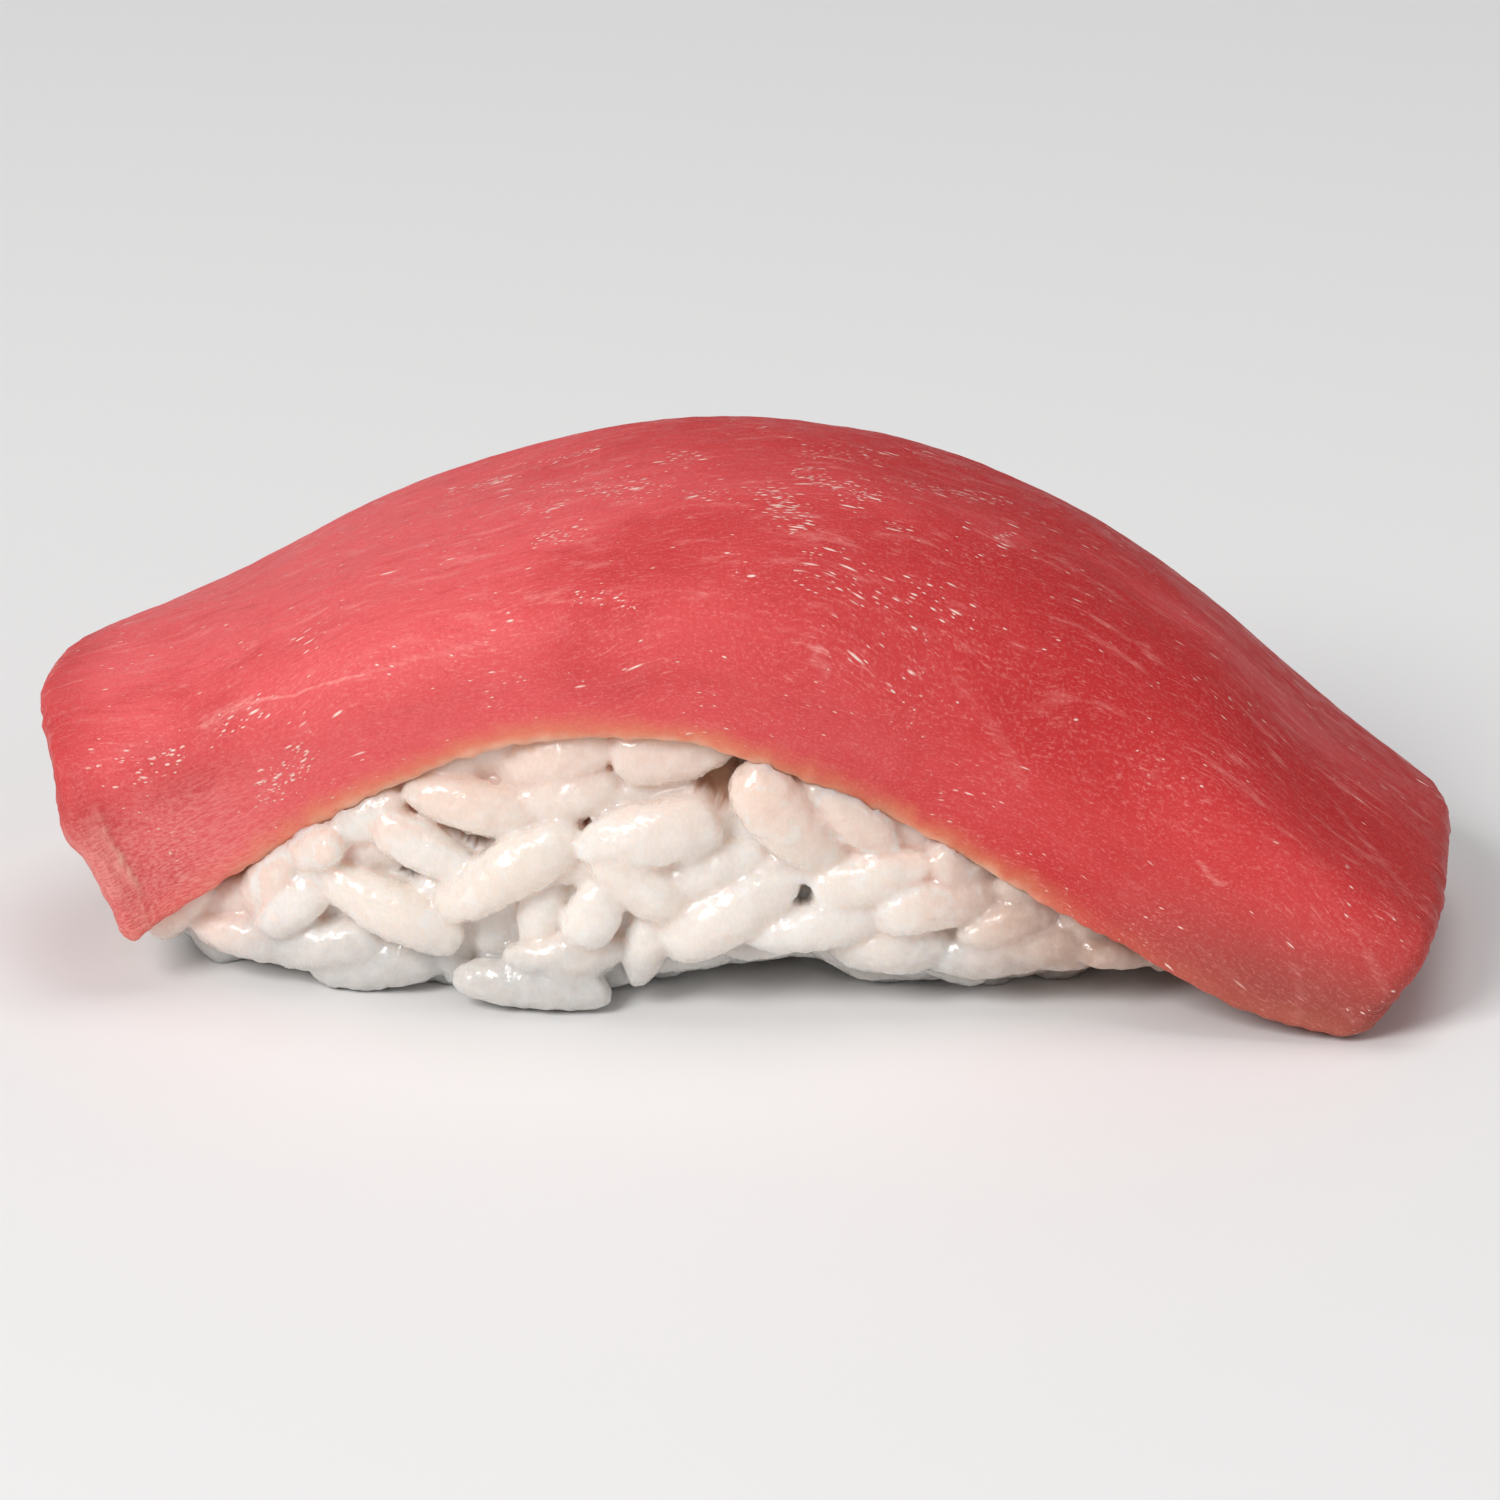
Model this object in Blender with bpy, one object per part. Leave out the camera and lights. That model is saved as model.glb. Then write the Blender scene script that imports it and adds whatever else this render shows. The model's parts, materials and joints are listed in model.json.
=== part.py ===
"""Tuna nigiri: a slice of raw tuna draped over a hand-pressed ball of short-grain rice.

Metres, +Z up. X runs along the slice, its low end is at +X, and the side shown in front faces -Y.
The origin lies on the surface that the rice rests on.
"""
import math
import random

import bpy
import bmesh
import numpy as np
from mathutils import Vector, noise
from mathutils.bvhtree import BVHTree

for old in list(bpy.data.objects):
    bpy.data.objects.remove(old, do_unlink=True)

# Driving dimensions
MM = 0.001
SLICE_HALF_LENGTH = 38.0 * MM
SLICE_TOP_EDGE_RADIUS = 2.4 * MM
SLICE_FOOT_EDGE_RADIUS = 0.9 * MM
SLICE_END_EDGE_RADIUS = 1.1 * MM
SLICE_UNEVENNESS = 0.22 * MM
UNEVEN_SEED = 14
GRAIN_LENGTH = 7.4 * MM
GRAIN_WIDTH = 3.4 * MM
GRAIN_THICKNESS = 3.0 * MM
GRAIN_SIDES = 5
GRAIN_SUNK = 0.45
CORE_INSET = 2.0 * MM
CORE_END_LIFT = 0.9 * MM
CORE_SIDES = 26
CORE_STATIONS = 22
FLAT_SHARE = 0.12
WALL_TUCK = 0.16
ROW_STEP = 2.6 * MM
ROWS = 7
GAP = 0.35 * MM
SEED = 14

# The lip where the slice's low front corner swells out over its end
LIP_CENTRE = Vector((-36.2, -9.4, 8.3)) * MM
LIP_REACH = 1.35 * MM
LIP_RADIUS = 2.2 * MM

# The slice's section at stations along it, in millimetres:
# x, height of the top, thickness, reach to the front, reach to the back, fall to the front, fall to the back
SLICE_STATIONS = (
    (-38.0, 14.0, 9.96, 10.6, 12.0, 2.46, 1.66),
    (-29.0, 17.2, 8.48, 9.4, 12.9, 2.81, 1.93),
    (-20.0, 20.9, 6.86, 10.6, 13.6, 2.60, 1.07),
    (-9.0, 24.5, 6.35, 11.8, 13.5, 3.10, 0.90),
    (3.0, 26.15, 7.47, 12.05, 13.6, 5.08, 2.37),
    (14.0, 23.1, 8.49, 11.0, 13.6, 6.05, 2.46),
    (24.0, 17.25, 9.03, 11.8, 13.15, 5.25, 2.85),
    (32.0, 10.2, 8.03, 13.45, 13.0, 2.33, 2.02),
    (38.0, 5.85, 5.85, 14.15, 12.2, 1.20, 1.35),
)
# How far the four corners of the slice are drawn in from its ends
CORNER_BOW = {
    "left_front": 2.8 * MM,
    "left_back": 6.2 * MM,
    "right_front": 1.75 * MM,
    "right_back": 4.1 * MM,
}
LEFT_BOW_POWER = 1.65
RIGHT_BOW_POWER = 2.6

# The rice ball's outline in plan and the lift of its lower edge, in millimetres:
# x, reach to the front, reach to the back, lift in front, lift at the back
RICE_STATIONS = (
    (-35.3, 1.5, 4.5, 1.6, 1.6),
    (-33.5, 5.0, 7.6, 1.2, 1.3),
    (-30.0, 8.0, 9.8, 0.8, 0.9),
    (-24.0, 10.1, 11.4, 0.4, 0.6),
    (-18.0, 11.5, 12.4, 0.0, 0.4),
    (-9.0, 12.6, 12.9, 0.0, 0.3),
    (-3.0, 12.8, 13.0, 0.9, 0.4),
    (3.0, 12.7, 12.9, 1.7, 0.6),
    (12.0, 11.8, 12.5, 1.8, 1.0),
    (18.0, 11.1, 11.8, 1.9, 1.2),
    (23.0, 9.4, 9.8, 1.6, 1.3),
    (26.0, 4.0, 4.5, 1.2, 1.2),
)

# How far the lowest grains along the front stand clear of the board, in millimetres: x, height
FRONT_LIFT = (
    (-35.0, 2.2),
    (-27.2, 1.7),
    (-23.4, 1.0),
    (-22.6, 0.1),
    (-7.4, 0.0),
    (-6.2, 1.5),
    (-1.9, 2.2),
    (3.5, 3.0),
    (4.6, 2.2),
    (7.2, 1.2),
    (11.5, 0.9),
    (18.4, 2.0),
    (21.6, 1.1),
    (27.0, 1.3),
)
# The lift is gone this far behind the front, as a share of its height
LIFT_SLOPE = 0.42
FRONT_FACE = 0.9

# The grains that show best in front: x, height of the middle (mm), slope (degrees), length (mm)
FRONT_GRAINS = (
    (-29.5, 2.2, 40, 5.0),
    (-25.1, 6.3, 50, 5.4),
    (-23.3, 5.2, 42, 5.2),
    (-25.9, 2.6, -5, 6.6),
    (-21.9, 2.7, 8, 7.6),
    (-18.8, 1.6, 10, 7.4),
    (-18.0, 5.4, -22, 7.6),
    (-16.3, 9.0, -25, 6.6),
    (-13.7, 11.4, -12, 7.2),
    (-11.7, 8.1, 32, 8.4),
    (-10.1, 1.5, -3, 8.6),
    (-8.8, 3.4, 0, 6.4),
    (-9.4, 14.2, 20, 6.2),
    (-4.3, 7.5, -35, 7.2),
    (-3.8, 10.6, 12, 7.8),
    (-3.1, 14.4, 5, 7.4),
    (-4.3, 4.0, 70, 5.6),
    (0.1, 5.9, 28, 7.6),
    (2.9, 11.3, -50, 8.0),
    (5.9, 11.8, -40, 6.6),
    (4.7, 5.3, 10, 7.4),
    (7.6, 7.9, 15, 6.4),
    (8.5, 3.7, 0, 6.4),
    (11.0, 6.6, 10, 6.6),
    (13.0, 3.4, 5, 6.6),
    (16.2, 3.6, -8, 6.8),
)


def ease(keys, values, at):
    """Smooth curve through the values at the keys."""
    keys = np.asarray(keys)
    values = np.asarray(values)
    slopes = np.gradient(values, keys)
    i = int(np.clip(np.searchsorted(keys, at) - 1, 0, len(keys) - 2))
    step = keys[i + 1] - keys[i]
    t = (at - keys[i]) / step
    start = (1 + 2 * t) * (1 - t) ** 2 * values[i] + t * (1 - t) ** 2 * step * slopes[i]
    end = t * t * (3 - 2 * t) * values[i + 1] + t * t * (t - 1) * step * slopes[i + 1]
    return float(start + end)


def section(table, x):
    """All columns of a station table at x, in metres."""
    columns = np.array(table) * MM
    return [ease(columns[:, 0], columns[:, k], x) for k in range(1, columns.shape[1])]


def slice_outline(front, back, thickness, inset):
    """Rounded section of the flat slice, as (across, up) pairs with 0 at its top face."""
    limit = thickness / 2 - inset - 0.02 * MM
    top = min(max(SLICE_TOP_EDGE_RADIUS - inset, 0.1 * MM), limit)
    foot = min(max(SLICE_FOOT_EDGE_RADIUS - inset, 0.1 * MM), limit)
    left = -front + inset
    right = back - inset
    high = -inset
    low = -thickness + inset
    quarter = np.radians(np.linspace(0, 90, 5))
    upper = [(left + top * (1 - math.cos(a)), high - top * (1 - math.sin(a))) for a in quarter]
    upper += [(left + top + t * (right - left - 2 * top), high) for t in np.linspace(0, 1, 11)[1:-1]]
    upper += [(right - top * (1 - math.sin(a)), high - top * (1 - math.cos(a))) for a in quarter]
    lower = [(left + foot * (1 - math.cos(a)), low + foot * (1 - math.sin(a))) for a in quarter]
    lower += [(left + foot + t * (right - left - 2 * foot), low) for t in np.linspace(0, 1, 11)[1:-1]]
    lower += [(right - foot * (1 - math.sin(a)), low + foot * (1 - math.cos(a))) for a in quarter]
    return upper, lower


noise.seed_set(UNEVEN_SEED)


def drape(x, across, up):
    """A point of the flat slice, moved to where the slice lies over the rice."""
    top, thickness, front, back, fall_front, fall_back = section(SLICE_STATIONS, x)
    half_step = 0.5 * MM
    rise = section(SLICE_STATIONS, x + half_step)[0] - section(SLICE_STATIONS, x - half_step)[0]
    slope = rise / (2 * half_step)
    length = math.hypot(slope, 1)
    normal_x = -slope / length
    normal_z = 1 / length
    side = "front" if across < 0 else "back"
    q = abs(across) / (front if across < 0 else back)
    fall = (fall_front if across < 0 else fall_back) * q ** 2.4
    end = min(abs(x) / SLICE_HALF_LENGTH, 1.0) ** 6
    if x < 0:
        bow = CORNER_BOW["left_" + side] * q ** LEFT_BOW_POWER * end
    else:
        bow = -CORNER_BOW["right_" + side] * q ** RIGHT_BOW_POWER * end
    point = Vector((x + bow + up * normal_x, across, top - fall + up * normal_z))
    lip = math.exp(-((point - LIP_CENTRE).length / LIP_RADIUS) ** 2)
    point.x -= LIP_REACH * lip
    wave = noise.noise_vector(point * 130 + Vector((7.3, 1.9, 4.4)))
    return point + wave * SLICE_UNEVENNESS


def build_slice():
    """Loft the rounded section along the slice, and close both ends with columns of quads."""
    bm = bmesh.new()
    rings = []
    arc = np.radians(np.linspace(0, 90, 4))
    ends = [(SLICE_HALF_LENGTH - SLICE_END_EDGE_RADIUS * (1 - math.sin(a)),
             SLICE_END_EDGE_RADIUS * (1 - math.cos(a))) for a in arc]
    body = np.linspace(-ends[0][0], ends[0][0], 37)
    places = [(-x, inset) for x, inset in reversed(ends[1:])]
    places += [(float(x), 0.0) for x in body]
    places += ends[1:]
    for x, inset in places:
        top, thickness, front, back, fall_front, fall_back = section(SLICE_STATIONS, x)
        upper, lower = slice_outline(front, back, thickness, inset)
        up_row = [bm.verts.new(drape(x, a, u)) for a, u in upper]
        low_row = [bm.verts.new(drape(x, a, u)) for a, u in lower]
        rings.append((up_row, low_row))
    for (up_a, low_a), (up_b, low_b) in zip(rings, rings[1:]):
        loop_a = up_a + low_a[::-1]
        loop_b = up_b + low_b[::-1]
        for k in range(len(loop_a)):
            n = (k + 1) % len(loop_a)
            bm.faces.new((loop_a[k], loop_b[k], loop_b[n], loop_a[n]))
    for up_row, low_row in (rings[0], rings[-1]):
        for k in range(len(up_row) - 1):
            bm.faces.new((up_row[k], up_row[k + 1], low_row[k + 1], low_row[k]))
    bmesh.ops.recalc_face_normals(bm, faces=bm.faces)
    bmesh.ops.triangulate(bm, faces=bm.faces)
    mesh = bpy.data.meshes.new("tuna_slice")
    bm.to_mesh(mesh)
    bm.free()
    mesh.shade_smooth()
    obj = bpy.data.objects.new("tuna_slice", mesh)
    bpy.context.collection.objects.link(obj)
    return obj


def underside(tree, x, y):
    """Height of the slice's underside above a point, or None where nothing hangs over it."""
    hit = tree.ray_cast(Vector((x, y, -5 * MM)), Vector((0, 0, 1)))
    return None if hit[0] is None else hit[0].z


def roof_over(tree, x, y):
    """Height of the slice's underside above a point, or above the nearest covered one behind it."""
    for share in (1.0, 0.94, 0.88, 0.82, 0.76):
        roof = underside(tree, x, share * y)
        if roof is not None:
            return roof
    return None


def clearance(x, y):
    """Least height of the rice over the board: a step up along the front, none behind."""
    first = RICE_STATIONS[0][0] * MM
    last = RICE_STATIONS[-1][0] * MM
    if y > 0:
        return 0.0
    front = section(RICE_STATIONS, min(max(x, first), last))[0]
    lift = float(np.interp(x / MM, [row[0] for row in FRONT_LIFT], [row[1] for row in FRONT_LIFT])) * MM
    return max(0.0, lift - LIFT_SLOPE * (y + FRONT_FACE * front))


def core_ring(tree, x):
    """Section of the rice core at x: under the slice at the top, flat below, round at both sides."""
    front, back, lift_front, lift_back = section(RICE_STATIONS, x)
    front = max(front - CORE_INSET, 0.6 * MM)
    back = max(back - CORE_INSET, 0.6 * MM)
    ring = []
    for k in range(CORE_SIDES):
        angle = 2 * math.pi * k / CORE_SIDES
        c = math.cos(angle)
        s = math.sin(angle)
        y = math.copysign(abs(c) ** 0.7, c) * (front if c < 0 else back)
        t = abs(y) / (front if c < 0 else back)
        roof = underside(tree, x, y) or underside(tree, x, 0.8 * y) or 6 * MM
        low = (lift_front if c < 0 else lift_back) * max(0.0, 2 * t - 1) ** 2
        low = max(low, clearance(x, y)) + CORE_END_LIFT * max(0.0, -28 * MM - x, x - 17 * MM) / (6 * MM)
        high = max(roof - GAP, low + 1.0 * MM)
        share = (1 + math.copysign(abs(s) ** 0.6, s)) / 2
        share = max(0.0, share - FLAT_SHARE) / (1 - FLAT_SHARE)
        ring.append(Vector((x, y, low + share * (high - low))))
    return ring


def build_core(tree):
    """The pressed rice inside, without its outer grains."""
    bm = bmesh.new()
    first = RICE_STATIONS[0][0] * MM + CORE_INSET
    last = RICE_STATIONS[-1][0] * MM - CORE_INSET
    rings = []
    for x in np.linspace(first, last, CORE_STATIONS):
        rings.append([bm.verts.new(p) for p in core_ring(tree, float(x))])
    for a, b in zip(rings, rings[1:]):
        for k in range(CORE_SIDES):
            n = (k + 1) % CORE_SIDES
            bm.faces.new((a[k], b[k], b[n], a[n]))
    bm.faces.new(rings[0])
    bm.faces.new(rings[-1])
    bmesh.ops.recalc_face_normals(bm, faces=bm.faces)
    bmesh.ops.triangulate(bm, faces=bm.faces)
    mesh = bpy.data.meshes.new("rice")
    bm.to_mesh(mesh)
    bm.free()
    obj = bpy.data.objects.new("rice", mesh)
    bpy.context.collection.objects.link(obj)
    return obj


def wall(tree, x, side, height):
    """Outer surface of the rice at x and a height, on the front (-1) or the back (+1)."""
    front, back, lift_front, lift_back = section(RICE_STATIONS, x)
    reach = front if side < 0 else back
    lift = lift_front if side < 0 else lift_back
    roof = roof_over(tree, x, side * reach) or 8 * MM
    middle = (roof + lift) / 2
    half = max((roof - lift) / 2, 1.2 * MM)
    t = min(abs(height - middle) / half, 1.0)
    return reach * (1 - WALL_TUCK * t ** 3)


def grain_points(centre, along, outward, length, width, thickness, bend):
    """Rings of a cooked grain: blunt spindle, slightly curved."""
    along = along.normalized()
    across = outward.cross(along).normalized()
    outward = along.cross(across).normalized()
    rings = []
    for t, r in ((-0.5, 0.0), (-0.36, 0.72), (0.0, 1.0), (0.36, 0.72), (0.5, 0.0)):
        middle = centre + along * (t * length) + outward * (bend * (1 - 4 * t * t))
        if r == 0.0:
            rings.append([middle])
            continue
        ring = []
        for k in range(GRAIN_SIDES):
            angle = 2 * math.pi * k / GRAIN_SIDES
            offset = across * (math.cos(angle) * width / 2 * r)
            offset += outward * (math.sin(angle) * thickness / 2 * r)
            ring.append(middle + offset)
        rings.append(ring)
    return rings


def fit_grain(tree, rings):
    """Lower a grain until it clears the slice, and press its underside flat just above the board."""
    push = 0.0
    for ring in rings:
        for p in ring:
            roof = roof_over(tree, p.x, p.y)
            if roof is not None:
                push = max(push, p.z - (roof - GAP - 0.1 * MM))
    lowest = min(p.z - clearance(p.x, p.y) for ring in rings for p in ring)
    if push > 2.4 * MM or lowest - push < -1.3 * MM:
        return None
    floor = 0.05 * MM + 0.02 * (lowest - push + 2 * MM)
    for ring in rings:
        for p in ring:
            p.z = max(p.z - push, floor + clearance(p.x, p.y))
    return rings


def add_grain(rings, holder, name):
    """One closed grain as a mesh object in the collection that is fused on."""
    bm = bmesh.new()
    rows = [[bm.verts.new(p) for p in ring] for ring in rings]
    for a, b in zip(rows, rows[1:]):
        count = max(len(a), len(b))
        for k in range(count):
            n = (k + 1) % count
            if len(a) == 1:
                bm.faces.new((a[0], b[n], b[k]))
            elif len(b) == 1:
                bm.faces.new((a[k], a[n], b[0]))
            else:
                bm.faces.new((a[k], a[n], b[n], b[k]))
    bmesh.ops.recalc_face_normals(bm, faces=bm.faces)
    bmesh.ops.triangulate(bm, faces=bm.faces)
    mesh = bpy.data.meshes.new(name)
    bm.to_mesh(mesh)
    bm.free()
    obj = bpy.data.objects.new(name, mesh)
    holder.objects.link(obj)


def wall_grain(tree, x, side, height, slope, length, turn, depth, dice):
    """A grain lying on the rice wall, its axis turned by slope in the wall."""
    reach = wall(tree, x, side, height)
    step = 0.8 * MM
    dy = (wall(tree, x + step, side, height) - wall(tree, x - step, side, height)) / (2 * step)
    dy = max(min(dy, 1.6), -1.6)
    tangent = Vector((1.0, side * dy, 0.0)).normalized()
    outward = Vector((-dy, side, 0.0)).normalized()
    along = tangent * math.cos(slope) + Vector((0, 0, 1)) * math.sin(slope)
    along = along + outward * math.sin(turn)
    centre = Vector((x, side * reach, height)) - outward * (GRAIN_THICKNESS * GRAIN_SUNK + depth)
    width = GRAIN_WIDTH * dice.uniform(0.92, 1.06)
    thickness = GRAIN_THICKNESS * dice.uniform(0.94, 1.06)
    rings = grain_points(centre, along, outward, length, width, thickness, dice.uniform(0.1, 0.35) * MM)
    return centre, fit_grain(tree, rings)


def build_grains(tree, holder):
    """The grains that show in front, then rows round the ball, largest gaps first."""
    dice = random.Random(SEED)
    centres = []

    def place(centre, rings):
        if rings is None:
            return False
        centres.append(centre)
        add_grain(rings, holder, "grain_%03d" % len(centres))
        return True

    for x, height, slope, length in FRONT_GRAINS:
        centre, rings = wall_grain(tree, x * MM, -1, height * MM, math.radians(slope), length * MM,
                                   math.radians(dice.uniform(-10, 10)), 0.0, dice)
        place(centre, rings)

    def far_enough(centre, spacing):
        return all((centre - other).length > spacing for other in centres)

    first = RICE_STATIONS[0][0] * MM
    last = RICE_STATIONS[-1][0] * MM
    for spacing, depth in ((4.2, 0.0), (3.3, 0.3), (2.7, 0.9)):
        for row in range(ROWS):
            for side in (-1, 1):
                x = first + (1.0 + 1.7 * dice.random()) * MM
                while x < last - 1.0 * MM:
                    height = row * ROW_STEP + dice.uniform(1.0, 2.0) * MM
                    reach = wall(tree, x, side, height)
                    roof = roof_over(tree, x, side * reach)
                    if roof is not None and height < roof - 1.0 * MM:
                        slope = math.radians(dice.gauss(0, 28))
                        turn = math.radians(dice.gauss(0, 14))
                        length = GRAIN_LENGTH * dice.uniform(0.86, 1.06)
                        centre, rings = wall_grain(tree, x, side, height, slope, length, turn,
                                                   depth * MM, dice)
                        if far_enough(centre, spacing * MM):
                            place(centre, rings)
                    x += dice.uniform(1.6, 2.4) * MM
    for end, x_end in ((-1, first), (1, last)):
        for k in range(10):
            y = (-6.0 + 12.0 * (k % 5) / 4) * MM
            height = (1.7 + 2.0 * (k // 5)) * MM
            centre = Vector((x_end - end * (1.6 + 0.035 * (y / MM) ** 2) * MM, y, height))
            slope = math.radians(dice.gauss(0, 25))
            along = Vector((0.25 * dice.uniform(-1, 1), math.cos(slope), math.sin(slope)))
            rings = grain_points(centre, along, Vector((end, 0, 0)), GRAIN_LENGTH * 0.85,
                                 GRAIN_WIDTH * 0.95, GRAIN_THICKNESS, 0.2 * MM)
            if far_enough(centre, 3.4 * MM):
                place(centre, fit_grain(tree, rings))
    return centres


def material(name, colour, roughness, subsurface):
    """A Principled material with a moist, slightly translucent body."""
    mat = bpy.data.materials.new(name)
    mat.use_nodes = True
    shader = mat.node_tree.nodes["Principled BSDF"]
    shader.inputs["Base Color"].default_value = (*colour, 1.0)
    shader.inputs["Roughness"].default_value = roughness
    shader.inputs["Metallic"].default_value = 0.0
    shader.inputs["Subsurface Weight"].default_value = subsurface
    shader.inputs["Subsurface Scale"].default_value = 2.0 * MM
    return mat


def keep_largest_body(obj):
    """Drop loose scraps and the walls of sealed hollows, so that one closed body is left."""
    bm = bmesh.new()
    bm.from_mesh(obj.data)
    bmesh.ops.triangulate(bm, faces=bm.faces)
    bm.faces.ensure_lookup_table()
    unseen = set(bm.faces)
    bodies = []
    while unseen:
        stack = [unseen.pop()]
        body = list(stack)
        while stack:
            for edge in stack.pop().edges:
                for face in edge.link_faces:
                    if face in unseen:
                        unseen.remove(face)
                        stack.append(face)
                        body.append(face)
        bodies.append(body)
    bodies.sort(key=len, reverse=True)
    spare = [face for body in bodies[1:] for face in body]
    bmesh.ops.delete(bm, geom=spare, context="FACES")
    loose = [v for v in bm.verts if not v.link_faces]
    bmesh.ops.delete(bm, geom=loose, context="VERTS")
    bm.to_mesh(obj.data)
    bm.free()


# The slice
tuna = build_slice()
tuna.data.materials.append(material("tuna", (0.62, 0.10, 0.09), 0.35, 0.3))
tuna_tree = BVHTree.FromPolygons([v.co for v in tuna.data.vertices],
                                 [tuple(p.vertices) for p in tuna.data.polygons])

# The rice: the core, with its outer grains fused on by one union
rice = build_core(tuna_tree)
grain_holder = bpy.data.collections.new("grains")
bpy.context.scene.collection.children.link(grain_holder)
build_grains(tuna_tree, grain_holder)
union = rice.modifiers.new("fuse grains", "BOOLEAN")
union.operation = "UNION"
union.operand_type = "COLLECTION"
union.collection = grain_holder
union.solver = "MANIFOLD"
graph = bpy.context.evaluated_depsgraph_get()
fused = bpy.data.meshes.new_from_object(rice.evaluated_get(graph))
rice.modifiers.clear()
rice.data = fused
for grain in list(grain_holder.objects):
    bpy.data.objects.remove(grain, do_unlink=True)
bpy.data.collections.remove(grain_holder)
keep_largest_body(rice)
rice.data.shade_smooth()
rice.data.set_sharp_from_angle(angle=math.radians(50))
rice.data.materials.clear()
rice.data.materials.append(material("rice", (0.80, 0.76, 0.72), 0.25, 0.3))
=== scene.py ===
"""Tuna nigiri, dressed: a draped slice of raw tuna over a hand-pressed ball of short-grain rice."""

import json
import math
import random

import bpy
import bmesh
import numpy as np
from mathutils import Euler, Matrix, Vector, noise
from mathutils.bvhtree import BVHTree

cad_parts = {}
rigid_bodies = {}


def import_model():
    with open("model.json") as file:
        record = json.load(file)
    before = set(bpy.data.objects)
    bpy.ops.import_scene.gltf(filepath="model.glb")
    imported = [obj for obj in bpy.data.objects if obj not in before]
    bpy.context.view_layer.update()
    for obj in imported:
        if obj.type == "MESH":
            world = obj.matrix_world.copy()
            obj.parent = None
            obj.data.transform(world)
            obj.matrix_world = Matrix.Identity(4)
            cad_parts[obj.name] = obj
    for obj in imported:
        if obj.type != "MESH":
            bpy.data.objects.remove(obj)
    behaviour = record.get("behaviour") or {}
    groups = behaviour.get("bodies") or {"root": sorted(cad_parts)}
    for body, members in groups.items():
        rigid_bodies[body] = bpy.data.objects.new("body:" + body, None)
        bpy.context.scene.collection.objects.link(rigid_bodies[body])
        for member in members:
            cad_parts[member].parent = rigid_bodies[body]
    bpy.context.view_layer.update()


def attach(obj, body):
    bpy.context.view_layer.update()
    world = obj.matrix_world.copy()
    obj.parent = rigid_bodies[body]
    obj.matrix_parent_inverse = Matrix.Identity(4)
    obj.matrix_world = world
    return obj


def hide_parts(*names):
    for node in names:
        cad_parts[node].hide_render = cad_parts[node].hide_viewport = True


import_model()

# The tuna slice
# One thick cut of raw red tuna, about 76 mm long, draped by hand over the rice so that its low end
# meets the plate. It is moist and slightly translucent, with short muscle fibres along the cut.
MM = 0.001
SLICE_HALF_LENGTH = 38.0 * MM
SLICE_TOP_EDGE_RADIUS = 2.4 * MM
SLICE_FOOT_EDGE_RADIUS = 0.9 * MM
SLICE_END_EDGE_RADIUS = 1.1 * MM
SLICE_UNEVENNESS = 0.22 * MM
UNEVEN_SEED = 14
SLICE_STEPS = 345
EDGE_STEPS = 9
FACE_STEPS = 78
SIDE_STEPS = 22
END_STEPS = 6

# x, height of the top, thickness, reach to the front, reach to the back, fall to the front, fall to the back
SLICE_STATIONS = np.array((
    (-38.0, 14.0, 9.96, 10.6, 12.0, 2.46, 1.66),
    (-29.0, 17.2, 8.48, 9.4, 12.9, 2.81, 1.93),
    (-20.0, 20.9, 6.86, 10.6, 13.6, 2.60, 1.07),
    (-9.0, 24.5, 6.35, 11.8, 13.5, 3.10, 0.90),
    (3.0, 26.15, 7.47, 12.05, 13.6, 5.08, 2.37),
    (14.0, 23.1, 8.49, 11.0, 13.6, 6.05, 2.46),
    (24.0, 17.25, 9.03, 11.8, 13.15, 5.25, 2.85),
    (32.0, 10.2, 8.03, 13.45, 13.0, 2.33, 2.02),
    (38.0, 5.85, 5.85, 14.15, 12.2, 1.20, 1.35),
)) * MM
CORNER_BOW = {
    "left_front": 2.8 * MM,
    "left_back": 6.2 * MM,
    "right_front": 1.75 * MM,
    "right_back": 4.1 * MM,
}
LEFT_BOW_POWER = 1.65
RIGHT_BOW_POWER = 2.6
LIP_CENTRE = np.array((-36.2, -9.4, 8.3)) * MM
LIP_REACH = 1.35 * MM
LIP_RADIUS = 2.2 * MM
LIP_LEDGE = 2.4
FLAP_WIDTH = 2.3
FLAP_NOTCH = 3.0


def ease(keys, values, at):
    """Smooth curve through the values at the keys."""
    slopes = np.gradient(values, keys)
    i = np.clip(np.searchsorted(keys, at) - 1, 0, len(keys) - 2)
    step = keys[i + 1] - keys[i]
    t = (at - keys[i]) / step
    start = (1 + 2 * t) * (1 - t) ** 2 * values[i] + t * (1 - t) ** 2 * step * slopes[i]
    end = t * t * (3 - 2 * t) * values[i + 1] + t * t * (t - 1) * step * slopes[i + 1]
    return start + end


def section(table, x):
    """All columns of a station table at x."""
    return [ease(table[:, 0], table[:, k], x) for k in range(1, table.shape[1])]


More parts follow.
